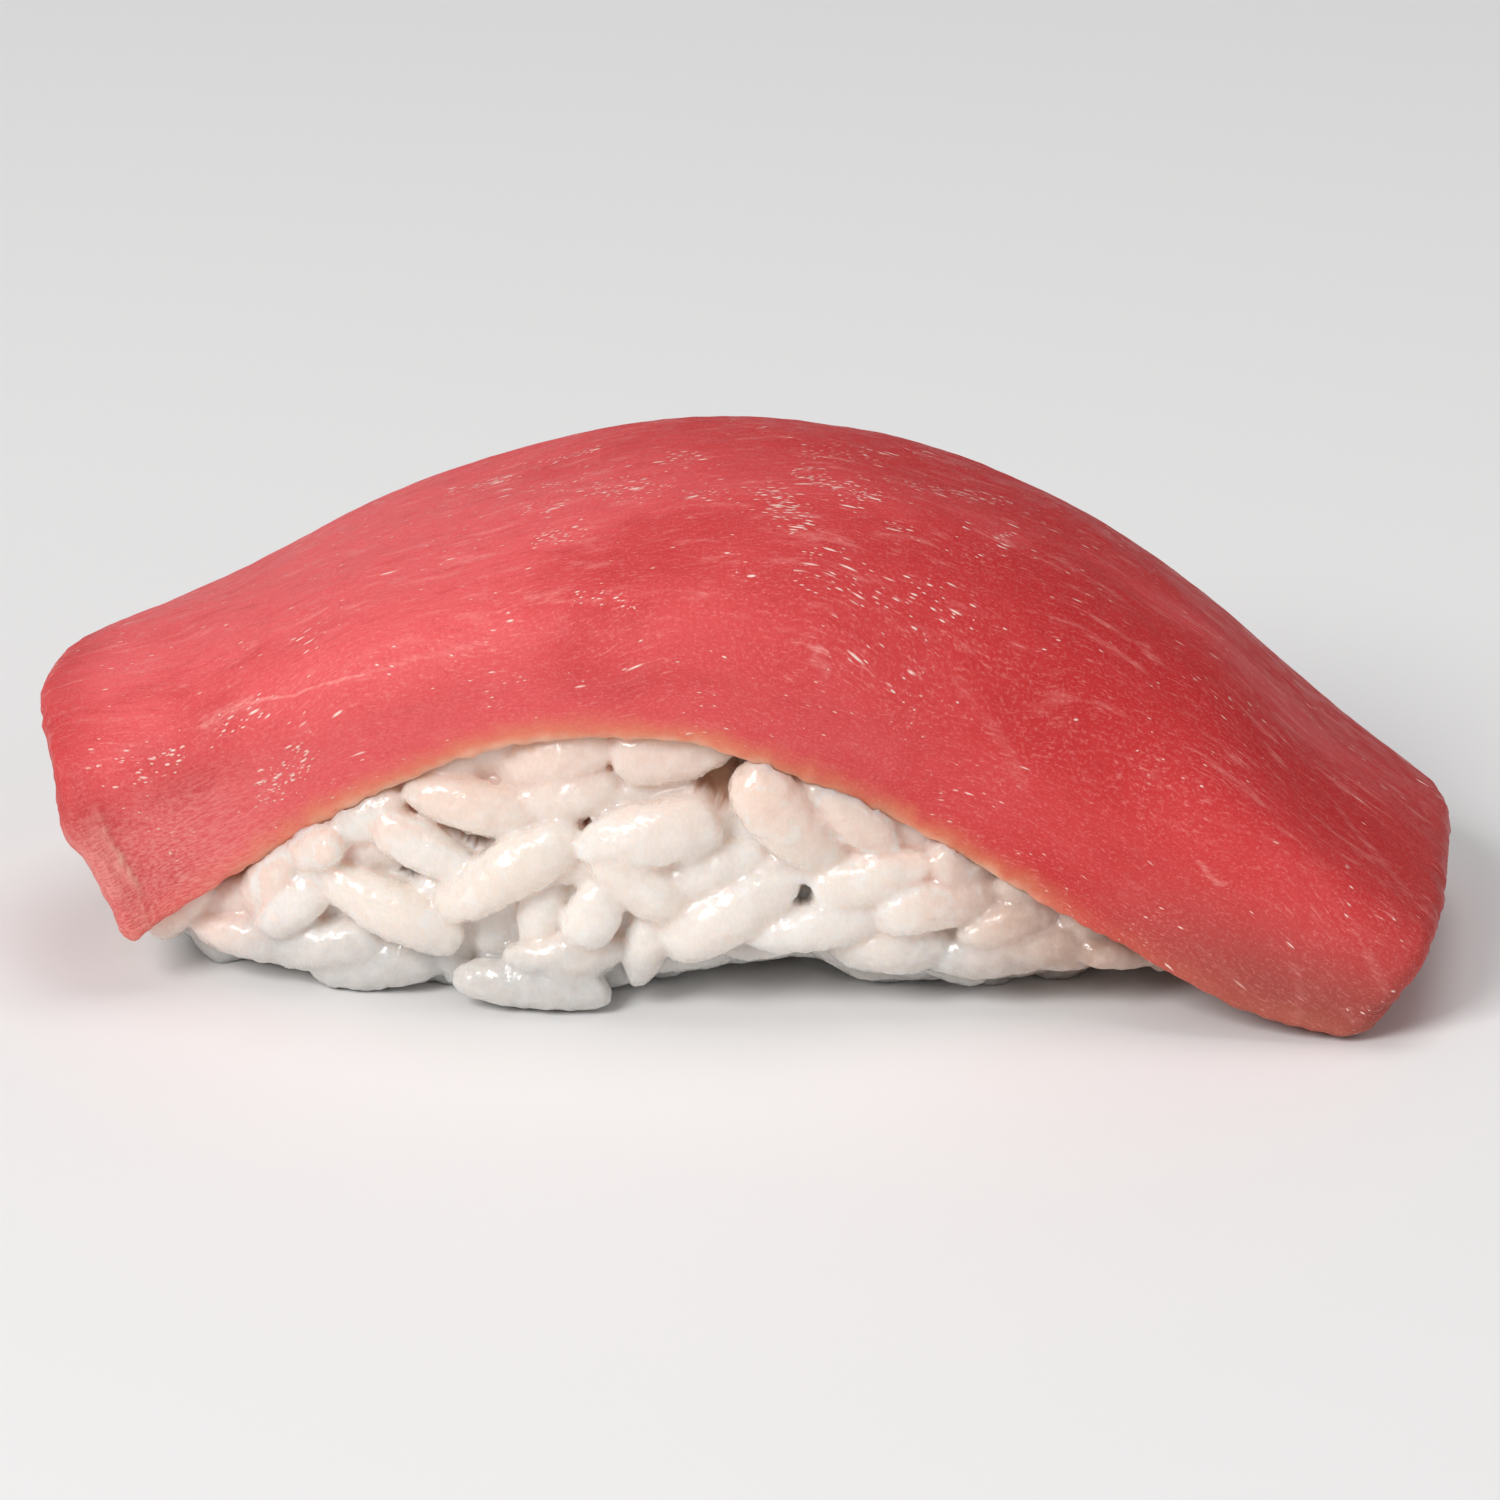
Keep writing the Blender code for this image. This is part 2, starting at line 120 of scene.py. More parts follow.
def slice_outline(front, back, thickness, inset):
    """Rounded section of the flat slice: its upper and lower rows of (across, up), 0 at the top face."""
    limit = thickness / 2 - inset - 0.02 * MM
    top = min(max(SLICE_TOP_EDGE_RADIUS - inset, 0.1 * MM), limit)
    foot = min(max(SLICE_FOOT_EDGE_RADIUS - inset, 0.1 * MM), limit)
    left = inset - front
    right = back - inset
    quarter = np.radians(np.linspace(0, 90, EDGE_STEPS))
    between = np.linspace(0, 1, FACE_STEPS + 2)[1:-1]
    rows = []
    for radius, level, sign in ((top, -inset, -1), (foot, inset - thickness, 1)):
        across = np.concatenate((
            left + radius * (1 - np.cos(quarter)),
            left + radius + between * (right - left - 2 * radius),
            right - radius * (1 - np.cos(quarter[::-1])),
        ))
        up = level + sign * radius * np.concatenate((
            1 - np.sin(quarter),
            np.zeros(FACE_STEPS),
            1 - np.sin(quarter[::-1]),
        ))
        rows.append(np.stack((across, up), axis=1))
    return rows


noise.seed_set(UNEVEN_SEED)


def drape(x, across, up):
    """Points of the flat slice, moved to where the slice lies over the rice."""
    top, thickness, front, back, fall_front, fall_back = section(SLICE_STATIONS, x)
    half_step = 0.5 * MM
    rise = section(SLICE_STATIONS, x + half_step)[0] - section(SLICE_STATIONS, x - half_step)[0]
    slope = rise / (2 * half_step)
    length = np.hypot(slope, 1)
    toward_front = across < 0
    q = np.abs(across) / np.where(toward_front, front, back)
    fall = np.where(toward_front, fall_front, fall_back) * q ** 2.4
    end = np.minimum(np.abs(x) / SLICE_HALF_LENGTH, 1.0) ** 6
    left = np.where(toward_front, CORNER_BOW["left_front"], CORNER_BOW["left_back"])
    right = np.where(toward_front, CORNER_BOW["right_front"], CORNER_BOW["right_back"])
    bow = np.where(x < 0, left * q ** LEFT_BOW_POWER, -right * q ** RIGHT_BOW_POWER) * end
    points = np.stack((x + bow - up * slope / length, across, top - fall + up / length), axis=1)
    from_lip = points - LIP_CENTRE
    from_lip[:, 2] *= np.where(from_lip[:, 2] < 0, LIP_LEDGE, 1.0)
    lip = np.exp(-(np.linalg.norm(from_lip, axis=1) / LIP_RADIUS) ** 2)
    points[:, 0] -= LIP_REACH * lip
    wave = [noise.noise_vector(Vector(p) * 130 + Vector((7.3, 1.9, 4.4))) for p in points]
    return points + np.array(wave) * SLICE_UNEVENNESS


def slice_grid():
    """Flat places of every point of the slice, and the faces between them."""
    arc = np.radians(np.linspace(0, 90, END_STEPS))
    end_x = SLICE_HALF_LENGTH - SLICE_END_EDGE_RADIUS * (1 - np.sin(arc))
    end_inset = SLICE_END_EDGE_RADIUS * (1 - np.cos(arc))
    body = np.linspace(-end_x[0], end_x[0], SLICE_STEPS)
    xs = np.concatenate((-end_x[:0:-1], body, end_x[1:]))
    insets = np.concatenate((end_inset[:0:-1], np.zeros(SLICE_STEPS), end_inset[1:]))
    side = np.linspace(0, 1, SIDE_STEPS + 1)
    flat = []
    faces = []
    rings = []
    for x, inset in zip(xs, insets):
        top, thickness, front, back, fall_front, fall_back = section(SLICE_STATIONS, x)
        upper, lower = slice_outline(front, back, thickness, inset)
        back_side = upper[-1] + side[1:-1, None] * (lower[-1] - upper[-1])
        front_side = lower[0] + side[1:-1, None] * (upper[0] - lower[0])
        loop = np.concatenate((upper, back_side, lower[::-1], front_side))
        first = len(flat)
        flat.extend((x, a, u, u + thickness) for a, u in loop)
        rings.append(list(range(first, len(flat))))
    for a, b in zip(rings, rings[1:]):
        for k in range(len(a)):
            n = (k + 1) % len(a)
            faces.append((a[k], a[n], b[n], b[k]))
    columns = FACE_STEPS + 2 * EDGE_STEPS
    for ring, x, inset in ((rings[0], xs[0], insets[0]), (rings[-1], xs[-1], insets[-1])):
        thickness = section(SLICE_STATIONS, x)[1]
        rows = [ring[:columns]]
        low = ring[columns + SIDE_STEPS - 1:2 * columns + SIDE_STEPS - 1][::-1]
        for r in range(1, SIDE_STEPS):
            row = [ring[-r]]
            for c in range(1, columns - 1):
                start = np.array(flat[rows[0][c]])
                stop = np.array(flat[low[c]])
                row.append(len(flat))
                flat.append(tuple(start + (stop - start) * side[r]))
            row.append(ring[columns + r - 1])
            rows.append(row)
        rows.append(low)
        for a, b in zip(rows, rows[1:]):
            for c in range(columns - 1):
                quad = (a[c], a[c + 1], b[c + 1], b[c])
                faces.append(quad if x < 0 else quad[::-1])
    return np.array(flat), faces


def texture(points, cell, offset):
    """Noise between -1 and 1 with its own cell size along each axis, in millimetres."""
    scaled = points[:, :3] / (np.array(cell) * MM) + offset
    return np.array([noise.noise(Vector(p)) for p in scaled])


def soft_step(value, width):
    """0 below zero, 1 above it, with a soft change as wide as the width."""
    return 1 / (1 + np.exp(-np.clip(value / width, -30, 30)))


def flap_masks(flat, reach_front):
    """1 on the thin flap of skin-like flesh at the left end of the front face, and 1 along its torn rim."""
    from_end = (flat[:, 0] + SLICE_HALF_LENGTH) / MM
    above = flat[:, 3] / MM
    torn = 0.30 * texture(flat, (1.3, 1.3, 1.3), 3.1) + 0.25 * texture(flat, (0.45, 0.45, 0.45), 9.7)
    beyond = FLAP_WIDTH + torn + 0.35 * np.exp(-((above - FLAP_NOTCH) / 0.5) ** 2) - from_end
    on_end = soft_step(1.2 - from_end, 0.1)
    on_front = soft_step((-flat[:, 1] - reach_front) / MM + 1.0 + 5.0 * on_end, 0.4)
    reach = soft_step(7.4 + 2 * torn - above, 0.5) * (0.35 + 0.65 * soft_step(above - FLAP_NOTCH, 0.12)) * on_front
    rim = np.exp(-((beyond - 0.12) / 0.16) ** 2) * reach * soft_step(6.6 - above, 0.8)
    return soft_step(beyond, 0.07) * reach, rim


def ragged_mask(flat):
    """1 along the cut edges at the foot and at both ends, where the knife left the flesh ragged."""
    from_end = (SLICE_HALF_LENGTH - np.abs(flat[:, 0])) / MM
    return np.maximum(soft_step(0.9 - flat[:, 3] / MM, 0.25), soft_step(1.0 - from_end, 0.3))


def add_attribute(mesh, name, kind, values):
    """A named value for each point of a mesh, read by its material."""
    layer = mesh.attributes.new(name, kind, "POINT")
    field = "vector" if kind == "FLOAT_VECTOR" else "value"
    layer.data.foreach_set(field, np.ascontiguousarray(values, dtype=np.float32).ravel())


def new_piece(name, points, faces):
    """A smooth-shaded mesh object at the origin."""
    mesh = bpy.data.meshes.new(name)
    mesh.from_pydata([tuple(p) for p in points], [], faces)
    mesh.update()
    mesh.shade_smooth()
    piece = bpy.data.objects.new(name, mesh)
    bpy.context.scene.collection.objects.link(piece)
    return piece


def outward(mesh):
    """Turn every face of a closed mesh outwards."""
    bm = bmesh.new()
    bm.from_mesh(mesh)
    bmesh.ops.recalc_face_normals(bm, faces=bm.faces)
    bm.to_mesh(mesh)
    bm.free()


flat, slice_faces = slice_grid()
draped = drape(flat[:, 0], flat[:, 1], flat[:, 2])
tuna = new_piece("tuna_slice_cut", draped, slice_faces)
outward(tuna.data)
normals = np.empty(len(flat) * 3)
tuna.data.vertices.foreach_get("normal", normals)
normals = normals.reshape(-1, 3)
reach_front = np.array([section(SLICE_STATIONS, x)[2] for x in flat[:, 0]])
flap, flap_rim = flap_masks(flat, reach_front)
relief = 0.06 * texture(flat, (5.0, 2.6, 2.6), 1.3)
relief += 0.03 * texture(flat, (2.4, 0.55, 0.55), 5.9)
relief += 0.03 * texture(flat, (0.9, 0.7, 0.7), 8.2)
relief += 0.16 * texture(flat, (0.8, 0.8, 0.8), 2.7) * ragged_mask(flat)
relief += 0.16 * flap + 0.10 * flap_rim
draped = draped + normals * relief[:, None] * MM
tuna.data.vertices.foreach_set("co", draped.ravel())
tuna.data.update()
down = -flat[:, 2] - flat[:, 1] - reach_front
add_attribute(tuna.data, "flat", "FLOAT_VECTOR", flat[:, :3] / MM)
add_attribute(tuna.data, "sheet", "FLOAT_VECTOR", np.stack((flat[:, 0], down, 0 * down), axis=1) / MM)
add_attribute(tuna.data, "foot", "FLOAT", flat[:, 3] / MM)
add_attribute(tuna.data, "flap", "FLOAT", flap)
add_attribute(tuna.data, "flap_rim", "FLOAT", flap_rim)


class Nodes:
    """Short way to add and join the nodes of one tree."""

    def __init__(self, tree):
        self.tree = tree

    def add(self, kind, settings=None, **inputs):
        node = self.tree.nodes.new(kind)
        for name, value in (settings or {}).items():
            setattr(node, name, value)
        for name, value in inputs.items():
            self.feed(node.inputs[name.replace("_", " ")], value)
        return node

    def feed(self, socket, value):
        if isinstance(value, bpy.types.NodeSocket):
            self.tree.links.new(value, socket)
        else:
            socket.default_value = value

    def math(self, operation, a, b=0.0, c=0.0, clamp=False):
        node = self.tree.nodes.new("ShaderNodeMath")
        node.operation = operation
        node.use_clamp = clamp
        for socket, value in zip(node.inputs, (a, b, c)):
            self.feed(socket, value)
        return node.outputs[0]

    def span(self, value, low, high, to_low=0.0, to_high=1.0):
        node = self.tree.nodes.new("ShaderNodeMapRange")
        node.interpolation_type = "SMOOTHSTEP"
        for socket, number in zip(node.inputs, (value, low, high, to_low, to_high)):
            self.feed(socket, number)
        return node.outputs[0]

    def mix(self, share, a, b, blend="MIX"):
        node = self.tree.nodes.new("ShaderNodeMix")
        node.data_type = "RGBA"
        node.blend_type = blend
        self.feed(node.inputs[0], share)
        self.feed(node.inputs[6], a)
        self.feed(node.inputs[7], b)
        return node.outputs[2]

    def noise(self, vector, scale, detail=2.0, rough=0.5):
        node = self.add("ShaderNodeTexNoise", Vector=vector, Scale=scale, Detail=detail, Roughness=rough)
        return node.outputs["Fac"]

    def stretch(self, vector, scale, turn=(0.0, 0.0, 0.0)):
        node = self.add("ShaderNodeMapping", Vector=vector, Scale=scale)
        node.inputs["Rotation"].default_value = turn
        return node.outputs["Vector"]


def moist_group():
    """Height and dullness of a moist surface: fine scratches, small pits and uneven wetness."""
    group = bpy.data.node_groups.new("Moist surface", "ShaderNodeTree")
    for name, kind, value in (("Vector", "NodeSocketVector", None), ("Streaks", "NodeSocketFloat", 1.0),
                              ("Pits", "NodeSocketFloat", 1.0)):
        socket = group.interface.new_socket(name, in_out="INPUT", socket_type=kind)
        if value is not None:
            socket.default_value = value
    for name in ("Height", "Dull"):
        group.interface.new_socket(name, in_out="OUTPUT", socket_type="NodeSocketFloat")
    n = Nodes(group)
    start = group.nodes.new("NodeGroupInput").outputs
    streaks = n.noise(n.stretch(start["Vector"], (0.9, 5.0, 5.0)), 1.0, 3.0, 0.6)
    pits = n.noise(start["Vector"], 4.0, 3.0, 0.65)
    height = n.math("MULTIPLY", streaks, start["Streaks"])
    height = n.math("MULTIPLY_ADD", pits, start["Pits"], height)
    dull = n.span(n.noise(start["Vector"], 0.8, 3.0), 0.36, 0.64)
    end = group.nodes.new("NodeGroupOutput")
    n.feed(end.inputs["Height"], height)
    n.feed(end.inputs["Dull"], dull)
    return group


def band_group():
    """Mask of a soft band between two places, as wide as told, fading at its edge."""
    group = bpy.data.node_groups.new("Soft band", "ShaderNodeTree")
    for name, kind in (("Place", "NodeSocketVector"), ("Start", "NodeSocketVector"), ("End", "NodeSocketVector"),
                       ("Half width", "NodeSocketFloat")):
        group.interface.new_socket(name, in_out="INPUT", socket_type=kind)
    group.interface.new_socket("Mask", in_out="OUTPUT", socket_type="NodeSocketFloat")
    n = Nodes(group)
    given = group.nodes.new("NodeGroupInput").outputs

    def vector(operation, a, b, output="Vector"):
        node = n.add("ShaderNodeVectorMath", {"operation": operation})
        n.feed(node.inputs[0], a)
        n.feed(node.inputs["Scale" if operation == "SCALE" else 1], b)
        return node.outputs[output]

    offset = vector("SUBTRACT", given["Place"], given["Start"])
    axis = vector("SUBTRACT", given["End"], given["Start"])
    along = n.math("DIVIDE", vector("DOT_PRODUCT", offset, axis, "Value"),
                   vector("DOT_PRODUCT", axis, axis, "Value"), clamp=True)
    aside = vector("SUBTRACT", offset, vector("SCALE", axis, along))
    distance = n.add("ShaderNodeVectorMath", {"operation": "LENGTH"})
    n.feed(distance.inputs[0], aside)
    mask = n.span(n.math("DIVIDE", distance.outputs["Value"], given["Half width"]), 1.0, 0.25)
    n.feed(group.nodes.new("NodeGroupOutput").inputs["Mask"], mask)
    return group


moist = moist_group()
soft_band = band_group()

FLESH = (0.66, 0.060, 0.062, 1)
FLESH_PINK = (0.77, 0.118, 0.124, 1)
# Deep red of the flesh, also used as painted shade on the top of the slice
FLESH_DEEP_AND_SHADE = (0.47, 0.018, 0.020, 1)
FLESH_PALE = (0.88, 0.38, 0.34, 1)
# Painted shade for the lower right of the slice
FLESH_LOW_SHADE = (0.36, 0.08, 0.065, 1)
# Tan foot and pale edge: partly the flesh's own colour, partly painted light glowing through the thin foot from the
# rice; the pale edge colour also marks the flap's torn rim
FLESH_TAN_GLOW = (0.74, 0.30, 0.15, 1)
FLESH_EDGE_AND_GLOW = (0.80, 0.48, 0.36, 1)
# Colour of the painted highlights on the wet fibres
PAINTED_GLINT = (1.0, 0.70, 0.62, 1)

# Pale sinews and torn scraps on the sheet: from (x, down), to (x, down), half width, strength
SINEWS = (
    (-27.6, 0.4, -25.0, 0.0, 0.50, 0.34),
    (-25.6, 0.0, -18.7, 0.6, 0.14, 0.55),
    (-18.7, 0.6, -12.0, 0.7, 0.28, 0.20),
    (-9.8, -1.9, -8.0, -1.5, 0.45, 0.24),
    (-8.6, -1.6, -5.6, -1.2, 0.22, 0.22),
    (5.3, 0.6, 6.2, 0.8, 0.30, 0.55),
    (5.6, 1.2, 6.4, 1.5, 0.40, 0.24),
    (12.9, 0.2, 17.6, 3.2, 0.45, 0.14),
    (26.8, 2.7, 28.4, 3.0, 0.22, 0.45),
    (32.6, -6.8, 36.4, -3.8, 0.45, 0.16),
    (33.6, 4.6, 35.3, 7.4, 0.35, 0.14),
    (35.8, 1.6, 37.8, 2.8, 0.40, 0.14),
    (-32.2, 7.6, -31.4, 8.0, 0.40, 0.36),
)
# Places where wet fibres show painted glints, small highlights painted into the colour: from (x, down), to (x, down),
# half width, strength
PAINTED_GLINT_PATCHES = (
    (-15.6, -17.4, -13, -17.4, 1, 0.72),
    (-10.4, -18.7, -8.6, -18.7, 0.8, 0.72),
    (-11.4, -14.5, -9.2, -14.3, 0.8, 0.64),
    (-11.3, -11.4, -10, -10.8, 1, 0.64),
    (-9.8, -7.2, -8.2, -7, 1.1, 0.90),
    (-7.6, -12.4, -4.6, -10.8, 1.7, 0.80),
    (-4, -14.8, -2.6, -14.8, 0.8, 0.56),
    (-2.4, -9.6, -0.6, -9.2, 1, 0.72),
    (2, -9.4, 3.4, -6.8, 1.5, 1.04),
    (3.6, -12, 6.4, -10, 1.6, 0.88),
    (4, -15.6, 7, -16, 1.8, 0.48),
    (9.4, -12.6, 12.8, -13.8, 1.2, 0.64),
    (8.4, -7.8, 9.2, -6.8, 0.9, 0.54),
    (-7.4, -2.2, -5, -1.6, 0.6, 0.63),
    (4.5, -3.6, 11.5, -3.4, 1.9, 0.32),
    (-26.6, 4.4, -23.6, 3, 1.3, 0.72),
    (-27, 0.4, -25, 0, 0.9, 0.54),
    (-34, 0.6, -30.5, 0.7, 1.4, 0.45),
)


def band_strength(table, x, down):
    """The strongest of a table's soft bands at places on the sheet, in millimetres."""
    total = np.zeros(len(x))
    for x0, down0, x1, down1, half_width, strength in table:
        axis = np.array((x1 - x0, down1 - down0))
        offset = np.stack((x - x0, down - down0), axis=1)
        along = np.clip(offset @ axis / (axis @ axis), 0, 1)
        distance = np.linalg.norm(offset - along[:, None] * axis, axis=1)
        inside = np.clip((1 - distance / half_width) / 0.75, 0, 1)
        total = np.maximum(total, inside * inside * (3 - 2 * inside) * strength)
    return total


def tuna_material():
    """Raw tuna: pink-red flesh with short pale fibres and faint sinews, painted shade on its top and lower right,
    painted glints, and a tan, thin lower edge with painted light glowing through it.
    """
    mat = bpy.data.materials.new("raw tuna")
    mat.use_nodes = True
    n = Nodes(mat.node_tree)
    shader = mat.node_tree.nodes["Principled BSDF"]
    place = n.add("ShaderNodeAttribute", {"attribute_name": "flat"}).outputs["Vector"]
    sheet = n.add("ShaderNodeAttribute", {"attribute_name": "sheet"}).outputs["Vector"]
    foot = n.add("ShaderNodeAttribute", {"attribute_name": "foot"}).outputs["Fac"]
    glint_places = n.add("ShaderNodeAttribute", {"attribute_name": "glint_places"}).outputs["Fac"]
    axes = n.add("ShaderNodeSeparateXYZ", Vector=sheet).outputs

    def bands(table, vector):
        """The strongest of a table's soft bands."""
        total = 0.0
        for x0, down0, x1, down1, half_width, strength in table:
            band = n.add("ShaderNodeGroup", {"node_tree": soft_band}, Place=vector, Start=(x0, down0, 0),
                         End=(x1, down1, 0), Half_width=half_width)
            total = n.math("MAXIMUM", n.math("MULTIPLY", band.outputs["Mask"], strength), total)
        return total

    sway = n.add("ShaderNodeTexNoise", Vector=place, Scale=0.09, Detail=1.0)
    bent = n.add("ShaderNodeVectorMath", {"operation": "MULTIPLY_ADD"})
    n.feed(bent.inputs[0], sway.outputs["Color"])
    bent.inputs[1].default_value = (4.0, 4.0, 4.0)
    n.feed(bent.inputs[2], place)
    bent = bent.outputs["Vector"]

    cloud = n.noise(n.stretch(bent, (0.05, 0.11, 0.11), (0.0, 0.5, 0.4)), 1.0, 4.0, 0.55)
    # Painted shade: the top of the slice, more so towards the right, is painted a deeper red where it faces away from
    # the low front light.
    depth = n.math("MULTIPLY", n.span(axes[1], 3.0, -7.0, 0.10, 1.0), n.span(axes[0], -12.0, 16.0))
    colour = n.mix(n.span(axes[0], -26.0, 26.0), FLESH_PINK, FLESH)
    colour = n.mix(n.math("MULTIPLY", depth, 0.75), colour, FLESH_DEEP_AND_SHADE)
    colour = n.mix(n.span(cloud, 0.46, 0.68, 0.0, 0.50), colour, FLESH_DEEP_AND_SHADE)
    colour = n.mix(n.span(cloud, 0.48, 0.30, 0.0, 0.35), colour, FLESH_PINK)
    # Painted shade: the lower right of the slice, turned away from the key light, painted darker and duller.
    low_right_shade = n.math("MULTIPLY", n.span(axes[0], 19.0, 34.0), n.span(foot, 8.5, 1.5))
    colour = n.mix(n.math("MULTIPLY", low_right_shade, 0.95), colour, FLESH_LOW_SHADE)
    colour = n.mix(n.span(axes[0], -33.5, -37.2, 0.0, 0.50), colour, FLESH_DEEP_AND_SHADE)
    # Painted shade: the far top edge of the slice, painted deeper red where the surface turns away from the light.
    far_top_shade = n.math("MULTIPLY", n.span(axes[1], -10.0, -19.0), n.span(axes[0], -20.0, 2.0))
    colour = n.mix(n.math("MULTIPLY", far_top_shade, 0.50), colour, FLESH_DEEP_AND_SHADE)
    front_left = n.math("MULTIPLY", n.span(axes[0], -22.0, -32.0), n.span(axes[1], 0.0, 5.0))

    patch = n.noise(place, 0.22, 3.0)
    fibre = n.noise(n.stretch(bent, (1.3, 9.0, 9.0), (0.0, -0.2, 0.15)), 1.0, 3.0, 0.65)
    fibre_share = n.math("MULTIPLY", n.span(fibre, 0.55, 0.74), n.span(patch, 0.36, 0.62, 0.20, 0.50))
    fibre_share = n.math("MAXIMUM", fibre_share, n.math("MULTIPLY", front_left, n.span(fibre, 0.38, 0.66, 0.05, 0.55)))
    colour = n.mix(fibre_share, colour, FLESH_PALE)
    colour = n.mix(n.span(fibre, 0.44, 0.26, 0.0, 0.20), colour, FLESH_DEEP_AND_SHADE)
    streak = n.noise(n.stretch(bent, (0.30, 1.7, 1.7), (0.0, -0.3, 0.3)), 1.0, 4.0, 0.6)
    upper = n.span(axes[1], 1.0, -4.0, 0.25, 1.0)
    colour = n.mix(n.math("MULTIPLY", n.span(streak, 0.54, 0.74), n.math("MULTIPLY", upper, 0.30)), colour, FLESH_PALE)
    colour = n.mix(n.math("MULTIPLY", n.span(streak, 0.46, 0.30), n.math("MULTIPLY", upper, 0.28)), colour, FLESH_DEEP_AND_SHADE)
    grain = n.noise(n.stretch(place, (5.0, 8.5, 8.5)), 1.0, 2.0, 0.7)
    colour = n.mix(n.span(grain, 0.50, 0.80, 0.0, 0.30), colour, FLESH_PALE)
    colour = n.mix(n.span(grain, 0.48, 0.25, 0.0, 0.20), colour, FLESH_DEEP_AND_SHADE)

    rough_sheet = n.add("ShaderNodeVectorMath", {"operation": "MULTIPLY_ADD"})
    n.feed(rough_sheet.inputs[0], n.add("ShaderNodeTexNoise", Vector=place, Scale=0.6, Detail=4.0).outputs["Color"])
    rough_sheet.inputs[1].default_value = (1.3, 1.1, 0.0)
    n.feed(rough_sheet.inputs[2], sheet)
    sinew = n.math("MULTIPLY", bands(SINEWS, rough_sheet.outputs["Vector"]), n.span(fibre, 0.36, 0.62, 0.20, 1.0))
    colour = n.mix(sinew, colour, FLESH_PALE)

    # Painted highlights: small pale glints painted into the colour in patches, also raised a little and made smoother.
    density = n.math("ADD", glint_places, n.span(patch, 0.45, 0.70, 0.01, 0.09))
    painted_glint_spot = 0.0
    for cells, share in (((0.7, 4.6, 4.6), 0.36), ((1.5, 6.5, 6.5), 0.44), ((2.6, 9.0, 9.0), 0.50)):
        painted_glint_cells = n.add("ShaderNodeTexVoronoi", {"feature": "F1"}, Scale=1.0,
                            Vector=n.stretch(bent, cells, (0.0, -0.2, 0.15)))
        chance = n.add("ShaderNodeSeparateXYZ", Vector=painted_glint_cells.outputs["Color"]).outputs[0]
        chosen = n.math("LESS_THAN", chance, n.math("MULTIPLY", density, share))
        painted_glint_spot = n.math("MAXIMUM", n.math("MULTIPLY", n.span(painted_glint_cells.outputs["Distance"], 0.40, 0.14), chosen), painted_glint_spot)
    colour = n.mix(painted_glint_spot, colour, PAINTED_GLINT)

    # The thin foot over the rice: partly its own tan colour, partly painted light glowing through it from the rice,
    # palest at the very edge.
    wobble = n.math("MULTIPLY", n.noise(place, 0.6, 3.0), 1.5)
    near_foot = n.math("ADD", foot, wobble)
    along_rice = n.math("MULTIPLY", n.span(axes[0], -33.0, -25.0), n.span(axes[0], 25.0, 17.0))
    tan = n.math("MULTIPLY", n.span(near_foot, 3.0, 0.9, 0.0, 0.85), n.math("MULTIPLY_ADD", along_rice, 0.8, 0.2))
    colour = n.mix(tan, colour, FLESH_TAN_GLOW)
    edge = n.math("MULTIPLY", n.span(near_foot, 1.9, 0.8, 0.0, 0.9), along_rice)
    colour = n.mix(edge, colour, FLESH_EDGE_AND_GLOW)
    flap = n.add("ShaderNodeAttribute", {"attribute_name": "flap"}).outputs["Fac"]
    flap_rim = n.add("ShaderNodeAttribute", {"attribute_name": "flap_rim"}).outputs["Fac"]
    threads = n.noise(n.stretch(place, (4.0, 1.4, 1.4), (0.0, 0.35, 0.0)), 1.0, 4.0, 0.7)
    colour = n.mix(n.math("MULTIPLY", flap, n.span(threads, 0.30, 0.62, 0.14, 0.50)), colour, FLESH_PALE)
    colour = n.mix(n.math("MULTIPLY", flap_rim, n.span(threads, 0.36, 0.60, 0.25, 0.75)), colour, FLESH_EDGE_AND_GLOW)

    wet = n.add("ShaderNodeGroup", {"node_tree": moist}, Vector=bent, Streaks=0.5, Pits=0.8)
    height = n.math("ADD", wet.outputs["Height"], n.math("MULTIPLY", painted_glint_spot, 0.8))
    bump = n.add("ShaderNodeBump", Strength=0.7, Distance=0.00010, Height=height)
    rough = n.span(wet.outputs["Dull"], 0.0, 1.0, 0.40, 0.55)
    rough = n.math("SUBTRACT", rough, n.math("MULTIPLY", painted_glint_spot, 0.25))
    n.feed(shader.inputs["Base Color"], colour)
    n.feed(shader.inputs["Roughness"], rough)
    n.feed(shader.inputs["Normal"], bump.outputs["Normal"])
    shader.inputs["Subsurface Weight"].default_value = 0.35
    shader.inputs["Subsurface Radius"].default_value = (1.0, 0.22, 0.18)
    shader.inputs["Subsurface Scale"].default_value = 1.4 * MM
    shader.inputs["IOR"].default_value = 1.34
    shader.inputs["Specular IOR Level"].default_value = 0.24
    return mat


# Where the painted highlights gather, kept on the slice for its material
glint_places = band_strength(PAINTED_GLINT_PATCHES, flat[:, 0] / MM, down / MM)
add_attribute(tuna.data, "glint_places", "FLOAT", glint_places)
tuna.data.materials.append(tuna_material())
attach(tuna, "root")
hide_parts("tuna_slice")

# The rice ball's core
# Short-grain rice pressed by hand into an oblong ball, flat where it rests and shaped to the slice above.
# Here it is the inside of the ball, built as a loft of its sections, which the outer grains lie on and stick to.
CORE_INSET = 1.75 * MM
CORE_END_LIFT = 0.9 * MM
CORE_SIDES = 64
CORE_STATIONS = 90
FLAT_SHARE = 0.12
WALL_TUCK = 0.16
CONTACT = 0.05 * MM

